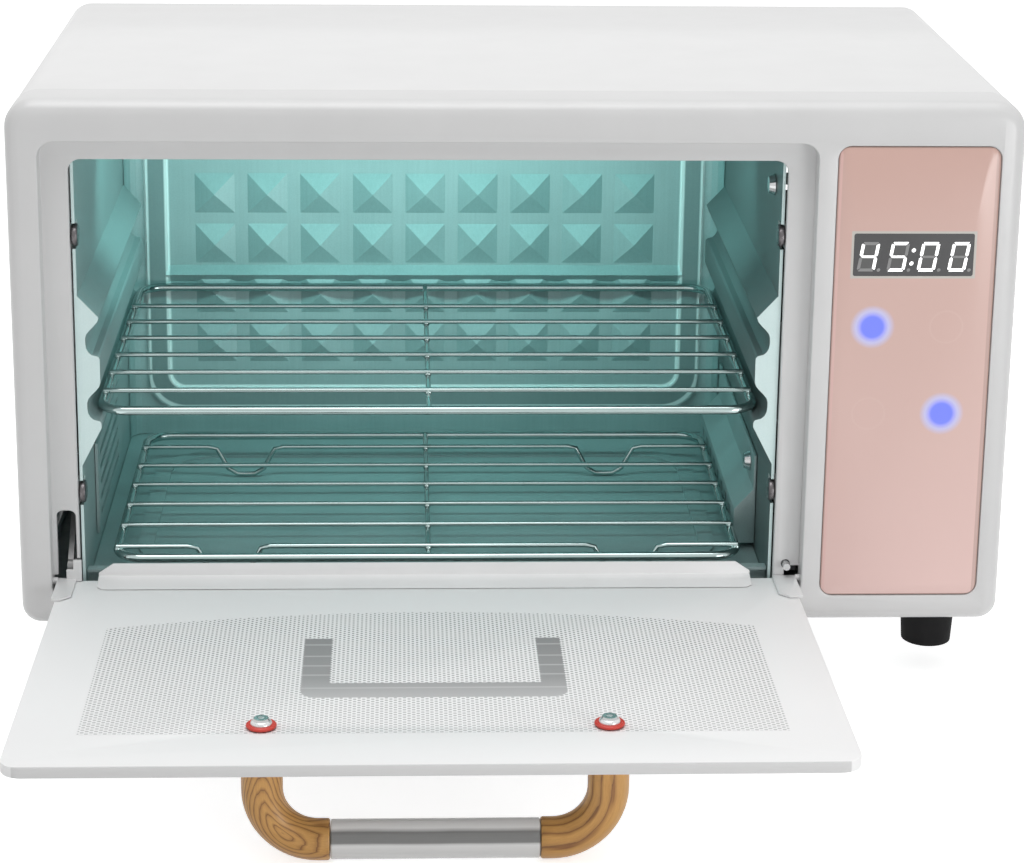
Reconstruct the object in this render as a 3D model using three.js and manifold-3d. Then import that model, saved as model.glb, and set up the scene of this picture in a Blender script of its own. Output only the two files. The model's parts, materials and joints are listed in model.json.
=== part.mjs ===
// A bench-top sterilizing cabinet with a drop-down glass door, two wire racks and a UV lamp.
// Millimetres. X runs across the front, Y from the front face to the back, Z up.
import * as THREE from "three";
import { mergeVertices } from "three/addons/utils/BufferGeometryUtils.js";
import Module from "manifold-3d";

const wasm = await Module();
wasm.setup();

// Fits shared by all pieces
const fit = 0.3;
const overrun = 6;
const sheet = 1.2;

// Front bezel and the recess that the door closes into
const bezelWidth = 400;
const bezelHeight = 218;
const bezelDepth = 22;
const bezelCorner = 12;
const bezelLowCorner = 8;
const bezelFillet = 6;
const bezelWall = 2.5;
const recessMargin = 13;
const recessRightMargin = 82;
const recessBottom = 10.5;
const recessTopDrop = 16.5;
const recessDepth = 8;
const recessCorner = 9;
const openingMargin = 10.7;
const openingTopDrop = 8.7;
const openingCorner = 5;

// Cover, base and rear panel
const coverInset = 1;
const coverTopDrop = 0.4;
const coverEnd = 219;
const coverCorner = 10;
const rearInset = 1.5;
const baseHeight = 4;
const ventLength = 46;
const ventHeight = 3.2;
const ventPitch = 9;
const ventRows = 7;
const ventRise = 120;
const ventMargin = 24;

// Rubber feet
const footRadius = 11.4;
const footTipRadius = 10.3;
const footHeight = 18.3;
const footInsetX = 23.8;
const footFrontY = 27;
const footRearInset = 30;
const footStemRadius = 2.6;
const footBoreRadius = 4;
const footBoreDepth = 4;

// Chamber
const chamberInset = 1.8;
const chamberBack = 204;
const chamberTop = 206;
const chamberFloor = 12;
const lipHeight = 19;
const lipDepth = 7;
const backCorner = 8;

// Pressed rack guides on the side walls
const guideRise = 8.2;
const grooveRise = 2.7;
const guideBottom = 65;
const guideFootHeight = 16;
const grooveFloor = 84.2;
const grooveLip = 1.6;
const grooveCurve = 5;
const grooveFlat = 2.5;
const grooveHeight = 16;
const groovePitch = 27.2;
const guideHeadHeight = 9;
const guideEnd = 196;

// Pyramid and bead pressings of the back wall
const pyramidColumns = 9;
const pyramidRows = 4;
const pyramidGap = 3.2;
const pyramidHeight = 21.8;
const pyramidRise = 4;
const pyramidMargin = 29.3;
const pyramidPitchZ = 24.3;
const pyramidTop = 141.6;
const ribHeight = 8;
const ribBase = 87.8;
const ribRise = 3.4;
const ribOverhang = 11;
const beadWidth = 9.6;
const beadRise = 2.2;
const beadMargin = 9.6;
const beadBottom = 26;
const beadCorner = 12.5;
const panBeadMargin = 16.5;
const panBeadWidth = 7;
const panBeadRise = 1.2;
const panBeadFront = 32;
const panBeadBack = 176;
const panBeadCorner = 28;

// Wire racks
const wire = 1.9;
const crossWire = 1.1;
const upperRackMargin = 7;
const upperRackFront = 17;
const upperRackBack = 198.5;
const upperCrossFirst = 36;
const lowerRackMargin = 12;
const lowerRackFront = 13.5;
const lowerRackBack = 166;
const lowerRackHeight = 24;
const lowerCrossFirst = 20.3;
const crossPitch = 24.6;
const crossCount = 6;
const rackCorner = 11;
const legSpan = 28;
const legFlat = 12;
const legInset = 46;

// Door: glass, rail and hinge hardware, placed from the hinge axis
const axisY = 6;
const axisZ = 17.2;
const openTilt = -1.78;
const doorGap = 3;
const glass = 4;
const glassDrop = 0.7;
const glassTail = 1.6;
const glassReach = 180.6;
const glassCorner = 8;
const railFront = 9.6;
const railRampEnd = 0.4;
const railRampRise = 2.3;
const railFlange = 7;
const railInset = 15.2;
const railInsetRight = 17.5;
const railChamferX = 6;
const railChamferZ = 4;
const railCorner = 2.5;
const clipWidth = 7.4;
const leftClipWidth = 5.5;
const clipLength = 22;
const clipInset = 0.6;
const clipSheet = 1;
const clipCorner = 4;
const earSheet = 1.1;
const pinRadius = 1.5;
const pinLength = 2.4;
const earFront = 6;
const uprightInset = 2.2;
const uprightWidth = 6.1;
const uprightTop = 8.5;
const uprightBack = 0.5;

// Closing link and its spring, on the left
const linkPivotY = 4.6;
const linkPivotZ = 5.1;
const linkLength = 49;
const linkTilt = 44.3;
const linkWidth = 4;
const linkSheet = 2.2;
const linkEye = 2.6;
const linkClear = 0.6;
const linkPin = 1;
const linkPinHead = 1.9;
const linkSlotLeft = 1.7;
const linkSlotTop = 46.7;
const linkSlotWidth = 7.7;
const linkSlotOpenTop = 26;
const springRadius = 3;
const springLength = 118;
const anchorWidth = 6;
const anchorHeight = 12;

// Handle
const handleReach = 147.5;
const handleShift = 1.1;
const handleSpan = 124;
const handleDrop = 39.2;
const elbowRadius = 7.5;
const elbowBend = 20;
const elbowLength = 24.1;
const barRadius = 7.2;
const spigotRadius = 4.6;
const spigotLength = 9;
const screwHead = 3.8;
const screwHeadHeight = 1.9;
const screwShank = 2;
const screwLength = 18;
const washerRadius = 5.4;
const washerHeight = 1.2;
const glassHole = 3;

// Control panel, display and touch keys
const panelMargin = 9.9;
const panelWidth = 64.3;
const panelBottom = 12;
const panelHeight = 188.5;
const panelCorner = 5;
const panelSheet = 1.3;
const panelPocket = 1.6;
const displayWidth = 48;
const displayHeight = 17.5;
const displayInset = 7.4;
const displayBottom = 147.9;
const displaySheet = 1;
const keyRadius = 5.75;
const keyColumnInset = 16.3;
const keyColumnPitch = 29.7;
const keyLowHeight = 90.4;
const keyRowPitch = 36.4;
const keyLength = 6;
const boardSheet = 1.6;
const boardMargin = 4;
const boardSetback = 12;
const boardBottom = 70;
const boardTop = 172;

// Fasteners at the opening and on the right wall
const wallScrewRadius = 4.6;
const wallScrewHead = 2.6;
const wallScrewShank = 2;
const wallScrewLength = 6;
const wallScrewY = 13.2;
const wallScrewLow = 53.4;
const wallScrewHigh = 161;
const panRadius = 4.4;
const panHead = 2.4;
const panUpperY = 32;
const panUpperZ = 177.5;
const panLowerY = 66;
const panLowerZ = 46;

// UV lamp
const lampRadius = 7.75;
const lampEndRoom = 42;
const lampY = 44;
const lampDrop = 10.5;
const capLength = 9;
const capRadius = 8;
const contactRadius = 1.1;
const contactLength = 6;
const contactOffset = 2.4;
const socketLength = 12;
const socketWidth = 17;
const lampClipInset = 10.7;
const clipWire = 4;
const lampClipSheet = 0.9;
const reflectorWidth = 44;
const reflectorSheet = 0.8;

// Drying fan, heater and their duct cover on the right wall
const ductRise = 9;
const ductFront = 52;
const ductBack = 182;
const ductBottom = 14.6;
const ductShoulder = 30;
const ductFlangeTop = 54;
const ductSheet = 1;
const ductLouvres = 8;
const ductLouvreWidth = 5;
const fanSize = 40;
const fanDepth = 14;
const fanY = 104;
const fanZ = 31;
const fanBore = 18;
const fanHub = 7;
const fanBlades = 7;
const bladeThickness = 1.4;
const bladeHub = 3;
const bladeHeight = 8.5;
const fanShaft = 2;
const heaterLength = 44;
const heaterHeight = 30;
const heaterDepth = 12;
const heaterFins = 9;
const heaterFinGap = 2.4;

// Left vent grille
const grilleFront = 52;
const grilleLength = 88;
const grilleBottom = 20;
const grilleHeight = 40;
const grilleSlots = 5;
const grilleSlot = 2.6;

// Electrics behind the panel and at the rear
const powerBoardLength = 96;
const powerBoardHeight = 70;
const powerBoardFront = 104;
const powerBoardBottom = 98;
const powerBoardStandOff = 20.9;
const ballastLength = 80;
const ballastHeight = 36;
const ballastDepth = 24;
const ballastFront = 30;
const ballastBottom = 120;
const inletWidth = 30;
const inletHeight = 22;
const inletDepth = 14;
const inletInset = 50;
const inletZ = 34;
const inletFlange = 4;
const inletPin = 1.6;
const plungerRadius = 1.5;
const plungerInset = 2.6;
const plungerZ = 22.6;
const plungerReach = 4;
const switchLength = 12;
const switchWidth = 9;
const switchHeight = 16;
const rearScrewRadius = 3.4;
const rearScrewHead = 1.4;
const rearScrewInset = 12;

// Counts of facets
const round = 24;
const fine = 32;
const coarse = 12;

// Places worked out from the sizes above
const bezelLeft = -bezelWidth / 2;
const bezelRight = bezelWidth / 2;
const recessLeft = bezelLeft + recessMargin;
const recessRight = bezelRight - recessRightMargin;
const recessTop = bezelHeight - recessTopDrop;
const middleX = (recessLeft + recessRight) / 2;
const openingLeft = recessLeft + openingMargin;
const openingRight = recessRight - openingMargin;
const openingTop = recessTop - openingTopDrop;
const trayBack = recessDepth + bezelWall;
const chamberLeft = openingLeft + chamberInset;
const chamberRight = openingRight - chamberInset;
const lampZ = chamberTop - lampDrop;
const chamberFront = trayBack + fit;
const glassLeft = recessLeft + doorGap;
const glassRight = recessRight - doorGap;
const glassTop = -glassDrop;
const glassUnder = -glassDrop - glass;
const coverHalf = bezelWidth / 2 - coverInset;
const coverTop = bezelHeight - coverTopDrop;
const coverFront = bezelDepth + fit;
const rearY = coverEnd - rearInset - sheet;
const upperRackZ = grooveFloor + fit + wire;
const panelLeft = bezelRight - panelMargin - panelWidth;
const chamberWidth = chamberRight - chamberLeft;
const pyramidPitchX = (chamberWidth - 2 * pyramidMargin) / pyramidColumns;
const pyramidWidth = pyramidPitchX - pyramidGap;
const lampLength = chamberWidth - 2 * lampEndRoom;
const clipGap = lampLength - 2 * lampClipInset;
const inletX = bezelRight - inletInset;
const powerBoardX = coverHalf - sheet - fit - powerBoardStandOff;
const handleX = middleX + handleShift;
const handleZ = glassUnder - handleDrop;
const openTiltAngle = (openTilt * Math.PI) / 180;
const handleLowest = handleLowestPoint();

function handleLowestPoint() {
  const along = -handleReach * Math.sin(openTiltAngle);
  return axisZ + along + handleZ * Math.cos(openTiltAngle) - elbowRadius;
}

// A closed geometry as a solid
function solid(geometry) {
  const bare = geometry.index ? geometry.toNonIndexed() : geometry.clone();
  for (const name of Object.keys(bare.attributes)) {
    if (name !== "position") bare.deleteAttribute(name);
  }
  const merged = mergeVertices(bare, fit / 1000);
  const made = new wasm.Manifold(
    new wasm.Mesh({
      numProp: 3,
      vertProperties: new Float32Array(merged.attributes.position.array),
      triVerts: new Uint32Array(merged.index.array),
    }),
  );
  return made;
}

function block(x0, x1, y0, y1, z0, z1) {
  const g = new THREE.BoxGeometry(x1 - x0, y1 - y0, z1 - z0);
  g.translate((x0 + x1) / 2, (y0 + y1) / 2, (z0 + z1) / 2);
  return solid(g);
}

// A cylinder or cone along an axis, from one place to another
function rod(axis, x, y, z, radius, length, sides = round, tip = radius) {
  const g = new THREE.CylinderGeometry(tip, radius, length, sides);
  g.translate(0, length / 2, 0);
  if (axis === "x") g.rotateZ(-Math.PI / 2);
  if (axis === "z") g.rotateX(Math.PI / 2);
  g.translate(x, y, z);
  return solid(g);
}

function polygon(points) {
  return new THREE.Shape(points.map(([a, b]) => new THREE.Vector2(a, b)));
}

// A rectangle with round corners; the two low ones may have a radius of their own
function roundRect(x0, x1, z0, z1, radius, low = radius) {
  const s = new THREE.Shape();
  s.moveTo(x0 + low, z0);
  s.lineTo(x1 - low, z0);
  s.absarc(x1 - low, z0 + low, low, -Math.PI / 2, 0, false);
  s.lineTo(x1, z1 - radius);
  s.absarc(x1 - radius, z1 - radius, radius, 0, Math.PI / 2, false);
  s.lineTo(x0 + radius, z1);
  s.absarc(x0 + radius, z1 - radius, radius, Math.PI / 2, Math.PI, false);
  s.lineTo(x0, z0 + low);
  s.absarc(x0 + low, z0 + low, low, Math.PI, 1.5 * Math.PI, false);
  return s;
}

function extruded(shape, depth, curveSegments) {
  return new THREE.ExtrudeGeometry(shape, { depth, curveSegments, bevelEnabled: false });
}

// A shape drawn in X and Z, carried along Y
function alongY(shape, y0, y1, segments = 4) {
  const g = extruded(shape, y1 - y0, segments);
  g.rotateX(Math.PI / 2);
  g.translate(0, y1, 0);
  return solid(g);
}

// A shape drawn in Y and Z, carried along X
function alongX(shape, x0, x1, segments = 4) {
  const g = extruded(shape, x1 - x0, segments);
  g.rotateX(Math.PI / 2);
  g.rotateZ(Math.PI / 2);
  g.translate(x0, 0, 0);
  return solid(g);
}

// A shape drawn in X and Y, carried along Z
function alongZ(shape, z0, z1, segments = 4) {
  const g = extruded(shape, z1 - z0, segments);
  g.translate(0, 0, z0);
  return solid(g);
}

// A run of points followed exactly, with its bends mitred
class Run extends THREE.Curve {
  constructor(points) {
    super();
    this.points = points.map((p) => new THREE.Vector3(...p));
  }
  getPoint(t, target = new THREE.Vector3()) {
    const place = t * (this.points.length - 1);
    const at = Math.min(Math.floor(place), this.points.length - 2);
    return target.lerpVectors(this.points[at], this.points[at + 1], place - at);
  }
  getPointAt(u, target) {
    return this.getPoint(u, target);
  }
  getTangentAt(u, target = new THREE.Vector3()) {
    const at = Math.round(u * (this.points.length - 1));
    const before = this.points[Math.max(at - 1, 0)];
    const here = this.points[at];
    const after = this.points[Math.min(at + 1, this.points.length - 1)];
    const arriving = here.clone().sub(before).normalize();
    const leaving = after.clone().sub(here).normalize();
    return target.copy(arriving).add(leaving).normalize();
  }
}

function tube(points, radius, sides) {
  const section = new THREE.Shape();
  for (let i = 0; i < sides; i += 1) {
    const turn = (2 * Math.PI * i) / sides;
    const corner = [radius * Math.cos(turn), radius * Math.sin(turn)];
    if (i === 0) section.moveTo(...corner);
    else section.lineTo(...corner);
  }
  section.closePath();
  const path = new Run(points);
  return solid(new THREE.ExtrudeGeometry(section, { steps: points.length - 1, extrudePath: path }));
}

function joined(solids) {
  return solids.reduce((a, b) => a.add(b));
}

// Points of a quarter turn in a plane, from one direction to another
function quarter(centre, from, to, steps) {
  const points = [];
  for (let i = 0; i <= steps; i += 1) {
    const turn = (Math.PI / 2) * (i / steps);
    points.push(centre.map((c, k) => c + from[k] * Math.cos(turn) + to[k] * Math.sin(turn)));
  }
  return points;
}

const finishes = {
  whiteEnamel: [0xededec, 0.35, 0],
  bezelWhite: [0xd8d7d6, 0.4, 0],
  steel: [0x9fb4b2, 0.35, 0.9],
  bareSteel: [0xa8aaab, 0.4, 0.9],
  chrome: [0xd8d8d8, 0.12, 1],
  whiteGlass: [0xeaeaea, 0.08, 0],
  pink: [0xd6aca3, 0.3, 0],
  black: [0x101012, 0.2, 0],
  lightGuide: [0xc6bfe8, 0.25, 0],
  wood: [0xc58a45, 0.4, 0],
  rubber: [0x1d1d1e, 0.8, 0],
  redRubber: [0xd23a34, 0.5, 0],
  lampGlass: [0xdfe8f5, 0.1, 0],
  ceramic: [0xf2f0ea, 0.5, 0],
  board: [0x2d6b45, 0.6, 0],
  darkPlastic: [0x242628, 0.6, 0],
  aluminium: [0xb9bcbe, 0.4, 0.8],
};

function mesh(name, body, finish) {
  const data = body.getMesh();
  const step = data.numProp;
  const places = new Float32Array(data.numVert * 3);
  for (let i = 0; i < data.numVert; i += 1) {
    places.set(data.vertProperties.subarray(i * step, i * step + 3), i * 3);
  }
  const geometry = new THREE.BufferGeometry();
  geometry.setAttribute("position", new THREE.BufferAttribute(places, 3));
  geometry.setIndex(new THREE.BufferAttribute(new Uint32Array(data.triVerts), 1));
  geometry.computeVertexNormals();
  const [color, roughness, metalness] = finishes[finish];
  const made = new THREE.Mesh(geometry, new THREE.MeshStandardMaterial({ color, roughness, metalness }));
  made.name = name;
  return made;
}

// Front bezel: filleted frame, door recess, chamber opening, panel pocket and hinge slots
function frontBezel() {
  const outline = roundRect(bezelLeft, bezelRight, 0, bezelHeight, bezelCorner, bezelLowCorner);
  const g = new THREE.ExtrudeGeometry(outline, {
    depth: 2 * bezelDepth,
    bevelEnabled: true,
    bevelThickness: bezelFillet,
    bevelSize: bezelFillet,
    bevelOffset: -bezelFillet,
    bevelSegments: 4,
    curveSegments: 6,
  });
  g.rotateX(Math.PI / 2);
  g.translate(0, 2 * bezelDepth + bezelFillet, 0);
  const high = bezelHeight + overrun;
  const wide = bezelRight + overrun;
  const behind = block(-wide, wide, bezelDepth, 4 * bezelDepth, -overrun, high);
  const hollowCorner = bezelCorner - bezelWall;
  const hollow = roundRect(
    bezelLeft + bezelWall,
    bezelRight - bezelWall,
    bezelWall,
    bezelHeight - bezelWall,
    hollowCorner,
    bezelLowCorner - bezelWall,
  );
  const tray = roundRect(
    recessLeft - bezelWall,
    recessRight + bezelWall,
    recessBottom - bezelWall,
    recessTop + bezelWall,
    recessCorner,
  );
  const pocket = roundRect(recessLeft, recessRight, recessBottom, recessTop, recessCorner - bezelWall);
  let body = solid(g).subtract(behind);
  body = body.subtract(alongY(hollow, bezelWall + fit, bezelDepth + overrun, 6));
  body = body.add(alongY(tray, bezelWall / 2, trayBack, 4));
  body = body.subtract(alongY(pocket, -overrun, recessDepth, 4));
  body = body.subtract(alongY(openingShape(), recessDepth - overrun, trayBack + overrun, 4));
  body = body.subtract(hingeSlots());
  body = body.add(screwLugs());
  body = body.subtract(panelPocketCuts());
  return body;
}

function openingShape() {
  const s = new THREE.Shape();
  const cornerZ = openingTop - openingCorner;
  s.moveTo(openingLeft, recessBottom);
  s.lineTo(openingRight, recessBottom);
  s.lineTo(openingRight, cornerZ);
  s.absarc(openingRight - openingCorner, cornerZ, openingCorner, 0, Math.PI / 2, false);
  s.lineTo(openingLeft + openingCorner, openingTop);
  s.absarc(openingLeft + openingCorner, cornerZ, openingCorner, Math.PI / 2, Math.PI, false);
  return s;
}

// Link slot on the left, pin notches at both lower corners and the pin bores
function hingeSlots() {
  const slotLeft = recessLeft + linkSlotLeft;
  const slotRight = slotLeft + linkSlotWidth;
  const slot = roundRect(slotLeft, slotRight, recessBottom, linkSlotTop, linkSlotWidth / 3);
  const through = [recessDepth - overrun, trayBack + overrun];
  const notchLeft = glassRight - clipInset - pinNotchWidth();
  const boreLeft = recessLeft - bezelWall - overrun;
  const cuts = [
    alongY(slot, ...through, 3),
    block(recessLeft, openingLeft + overrun, ...through, recessBottom, axisZ + pinRadius + fit),
    block(slotLeft, openingLeft + overrun, ...through, recessBottom - bezelWall / 2, linkSlotOpenTop),
    block(notchLeft, recessRight, ...through, recessBottom, axisZ + 3 * pinRadius),
    block(openingRight - overrun, recessRight, ...through, recessBottom, axisZ - pinRadius),
    rod("x", boreLeft, axisY, axisZ, pinRadius + fit, overrun + bezelWall + fit, coarse),
    rod("x", recessRight - fit, axisY, axisZ, pinRadius + fit, overrun + bezelWall, coarse),
    plungerBore(),
  ];
  return joined(cuts);
}

function pinNotchWidth() {
  return clipWidth / 3;
}

function plungerX() {
  return glassRight - plungerInset;
}

function plungerBore() {
  return rod("y", plungerX(), recessDepth - fit, plungerZ, plungerRadius + fit, bezelWall + 2 * fit, coarse);
}

// Lugs behind the recess floor that take the four side screws
function screwLugs() {
  const lugs = [];
  const half = wallScrewRadius + fit;
  for (const z of [wallScrewLow, wallScrewHigh]) {
    for (const side of [-1, 1]) {
      const edge = side < 0 ? openingLeft : openingRight;
      const far = edge + side * wallScrewLength;
      const [a, b] = [Math.min(edge, far), Math.max(edge, far)];
      const lug = block(a, b, trayBack - fit, wallScrewY + half, z - half, z + half);
      const bore = rod("x", a - overrun, wallScrewY, z, wallScrewShank + fit, b - a + 2 * overrun, coarse);
      lugs.push(lug.subtract(bore));
    }
  }
  return joined(lugs);
}

// Shallow pocket that the pink panel lies in, with ways through for the display and the keys
function panelPocketCuts() {
  const pocket = roundRect(
    panelLeft - fit,
    panelLeft + panelWidth + fit,
    panelBottom - fit,
    panelBottom + panelHeight + fit,
    panelCorner + fit,
  );
  const cuts = [alongY(pocket, -overrun, panelPocket, 3)];
  const window = displayBounds(-boardSheet);
  cuts.push(block(window[0], window[1], -overrun, bezelWall + overrun, window[2], window[3]));
  for (const [x, z] of keyPlaces()) {
    cuts.push(rod("y", x, -overrun, z, keyRadius + fit, bezelWall + 2 * overrun));
  }
  return joined(cuts);
}

function displayBounds(inset) {
  const x0 = panelLeft + displayInset;
  return [
    x0 + inset,
    x0 + displayWidth - inset,
    displayBottom + inset,
    displayBottom + displayHeight - inset,
  ];
}

function keyPlaces() {
  const places = [];
  for (const row of [0, 1]) {
    for (const column of [0, 1]) {
      places.push([panelLeft + keyColumnInset + column * keyColumnPitch, keyLowHeight + row * keyRowPitch]);
    }
  }
  return places;
}

// Wrap-round cover: top and both sides in one bent sheet
function outerCover() {
  const s = new THREE.Shape();
  const inner = coverHalf - sheet;
  const top = coverTop - sheet;
  const innerCorner = coverCorner - sheet;
  s.moveTo(-coverHalf, 0);
  s.lineTo(-inner, 0);
  s.lineTo(-inner, top - innerCorner);
  s.absarc(-inner + innerCorner, top - innerCorner, innerCorner, Math.PI, Math.PI / 2, true);
  s.lineTo(inner - innerCorner, top);
  s.absarc(inner - innerCorner, top - innerCorner, innerCorner, Math.PI / 2, 0, true);
  s.lineTo(inner, 0);
  s.lineTo(coverHalf, 0);
  s.lineTo(coverHalf, coverTop - coverCorner);
  s.absarc(coverHalf - coverCorner, coverTop - coverCorner, coverCorner, 0, Math.PI / 2, false);
  s.lineTo(-coverHalf + coverCorner, coverTop);
  s.absarc(-coverHalf + coverCorner, coverTop - coverCorner, coverCorner, Math.PI / 2, Math.PI, false);
  return alongY(s, coverFront, coverEnd, 6);
}

function basePanel() {
  const half = coverHalf - sheet - fit;
  const outline = [
    [-half, 0],
    [half, 0],
    [half, baseHeight],
    [half - sheet, baseHeight],
    [half - sheet, sheet],
    [-half + sheet, sheet],
    [-half + sheet, baseHeight],
    [-half, baseHeight],
  ];
  let body = alongY(polygon(outline), coverFront, rearY - fit);
  for (const [x, y] of footPlaces()) {
    body = body.subtract(rod("z", x, y, -overrun, footStemRadius + fit, 2 * overrun, coarse));
  }
  return body;
}

function footPlaces() {
  const x = bezelWidth / 2 - footInsetX;
  const rear = coverEnd - footRearInset;
  return [
    [-x, footFrontY],
    [x, footFrontY],
    [-x, rear],
    [x, rear],
  ];
}

function foot(x, y) {
  const pad = rod("z", x, y, -footHeight, footTipRadius, footHeight - fit, fine, footRadius);
  const stem = rod("z", x, y, -2 * fit, footStemRadius, sheet + 4 * fit, coarse);
  const bore = rod("z", x, y, -footHeight - overrun, footBoreRadius, overrun + footBoreDepth, round);
  return pad.add(stem).subtract(bore);
}

// Rear panel with vent slots, the inlet's cut-out and screw holes
function rearPanel() {
  const half = coverHalf - sheet - fit;
  const corner = coverCorner - sheet;
  const low = sheet + fit;
  const high = coverTop - sheet - fit;
  const shape = new THREE.Shape();
  shape.moveTo(-half, low);
  shape.lineTo(half, low);
  shape.absarc(half - corner, high - corner, corner, 0, Math.PI / 2, false);
  shape.absarc(-half + corner, high - corner, corner, Math.PI / 2, Math.PI, false);
  let body = alongY(shape, rearY, rearY + sheet, 4);
  for (const x of [-half + ventMargin, half - ventMargin - ventLength]) {
    for (let row = 0; row < ventRows; row += 1) {
      const z = ventRise + row * ventPitch;
      body = body.subtract(block(x, x + ventLength, rearY - overrun, rearY + overrun, z, z + ventHeight));
    }
  }
  const w = inletWidth / 2 - inletFlange + fit;
  const h = inletHeight / 2 - inletFlange / 2 + fit;
  const through = [rearY - overrun, rearY + overrun];
  body = body.subtract(block(inletX - w, inletX + w, ...through, inletZ - h, inletZ + h));
  return body;
}

function rearScrewPlaces() {
  const half = coverHalf - rearScrewInset;
  const high = coverTop - rearScrewInset;
  return [
    [-half, high],
    [half, high],
  ];
}

function rearScrew(x, z) {
  const y = rearY + sheet + fit / 3;
  return rod("y", x, y, z, rearScrewRadius, rearScrewHead, coarse, rearScrewRadius * 0.8);
}

function powerInlet() {
  const flange = block(
    inletX - inletWidth / 2,
    inletX + inletWidth / 2,
    rearY + sheet + fit,
    rearY + sheet + rearInset,
    inletZ - inletHeight / 2,
    inletZ + inletHeight / 2,
  );
  const w = inletWidth / 2 - inletFlange;
  const h = inletHeight / 2 - inletFlange / 2;
  const face = rearY + sheet + rearInset;
  const body = block(inletX - w, inletX + w, face - inletDepth, face - fit, inletZ - h, inletZ + h);
  const well = block(
    inletX - w + sheet,
    inletX + w - sheet,
    face - inletDepth + 2 * sheet,
    face + overrun,
    inletZ - h + sheet,
    inletZ + h - sheet,
  );
  const pinStart = face - inletDepth + sheet;
  const pins = [-1, 1].map((side) =>
    rod("y", inletX + (side * w) / 2, pinStart, inletZ, inletPin, inletDepth / 2 - sheet, coarse),
  );
  return joined([flange.add(body).subtract(well), ...pins]);
}

// Height of the guide pressing above the plain wall, as points from low to high
function guideProfile() {
  const points = [
    [0, guideBottom],
    [guideRise, guideBottom + guideFootHeight],
  ];
  for (const floor of [grooveFloor, grooveFloor + groovePitch]) {
    const mouth = guideRise - grooveLip;
    points.push(...quarter([mouth, floor - grooveLip], [grooveLip, 0], [0, grooveLip], 3));
    const inward = mouth - grooveRise;
    points.push(...quarter([mouth, floor + grooveCurve], [0, -grooveCurve], [-inward, 0], 4).slice(1));
    points.push(...waveUp(floor + grooveCurve + grooveFlat, floor + grooveHeight));
  }
  const top = points.at(-1)[1];
  points.push([guideRise / 2, top + guideHeadHeight / 2]);
  points.push([0, top + guideHeadHeight]);
  return points;
}

// Smooth rise out of a groove, between two heights
function waveUp(low, high) {
  const steps = 5;
  const points = [];
  for (let i = 0; i <= steps; i += 1) {
    const share = (1 - Math.cos((Math.PI * i) / steps)) / 2;
    points.push([grooveRise + (guideRise - grooveRise) * share, low + ((high - low) * i) / steps]);
  }
  return points;
}

// Side wall with its pressed rack guides; side is -1 on the left and 1 on the right
function chamberWall(side) {
  const inner = side < 0 ? chamberLeft : chamberRight;
  const outer = inner + side * sheet;
  const [a, b] = [Math.min(inner, outer), Math.max(inner, outer)];
  let body = block(a, b, chamberFront, chamberBack - fit, chamberFloor - sheet, chamberTop - fit);
  const profile = guideProfile();
  const face = profile.map(([rise, z]) => [inner - side * rise, z]);
  const back = profile.map(([rise, z]) => [inner - side * (rise - sheet), z]).reverse();
  const top = profile.at(-1)[1];
  const past = outer + side * overrun;
  const ridge = polygon([...face, [outer, top], [outer, guideBottom]]);
  const hollow = polygon([...back, [past, guideBottom], [past, top]]);
  body = body.add(alongY(ridge, chamberFront, guideEnd));
  body = body.subtract(alongY(hollow, chamberFront + sheet, guideEnd - sheet));
  const half = wallScrewRadius + 2 * fit;
  for (const z of [wallScrewLow, wallScrewHigh]) {
    const end = wallScrewY + half;
    body = body.subtract(block(a - fit, b + fit, chamberFront - overrun, end, z - half, z + half));
  }
  if (side < 0) return body.add(springAnchor()).subtract(grilleWay());
  return body.subtract(fanWay());
}

function springAnchor() {
  const [y, z] = springTop();
  const outer = chamberLeft - sheet;
  const front = y + linkPin;
  const far = outer - 2.5 * springRadius;
  const half = anchorHeight / 2;
  return block(far, outer + sheet / 2, front, front + anchorWidth, z - half, z + half);
}

function grilleWay() {
  const pad = grilleSlot;
  return block(
    chamberLeft - sheet - overrun,
    chamberLeft + sheet,
    grilleFront + pad,
    grilleFront + grilleLength - pad,
    grilleBottom + pad,
    grilleBottom + grilleHeight - pad,
  );
}

function fanWay() {
  return rod("x", chamberRight - sheet, fanY, fanZ, fanBore - 2 * fit - sheet, 3 * sheet, round);
}

// Back wall: raised pyramids in rows, one horizontal rib and a bead round them
function chamberBackWall() {
  const high = chamberTop - fit;
  const pieces = [block(chamberLeft, chamberRight, chamberBack, chamberBack + sheet, chamberFloor, high)];
  const firstX = middleX - ((pyramidColumns - 1) / 2) * pyramidPitchX;
  for (let row = 0; row < pyramidRows; row += 1) {
    const z = pyramidTop - pyramidHeight / 2 - row * pyramidPitchZ;
    for (let column = 0; column < pyramidColumns; column += 1) {
      pieces.push(pyramid(firstX + column * pyramidPitchX, z));
    }
  }
  const reach = (pyramidColumns / 2) * pyramidPitchX + ribOverhang;
  const face = chamberBack - ribRise;
  const rib = [
    [chamberBack + sheet / 2, ribBase],
    [chamberBack + sheet / 2, ribBase + ribHeight],
    [chamberBack, ribBase + ribHeight],
    [face, ribBase + ribHeight / 2],
    [chamberBack, ribBase],
  ];
  pieces.push(alongX(polygon(rib), middleX - reach, middleX + reach));
  pieces.push(backBead());
  pieces.push(cornerStrip(chamberLeft + fit, 1), cornerStrip(chamberRight - fit, -1));
  return joined(pieces);
}

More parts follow.
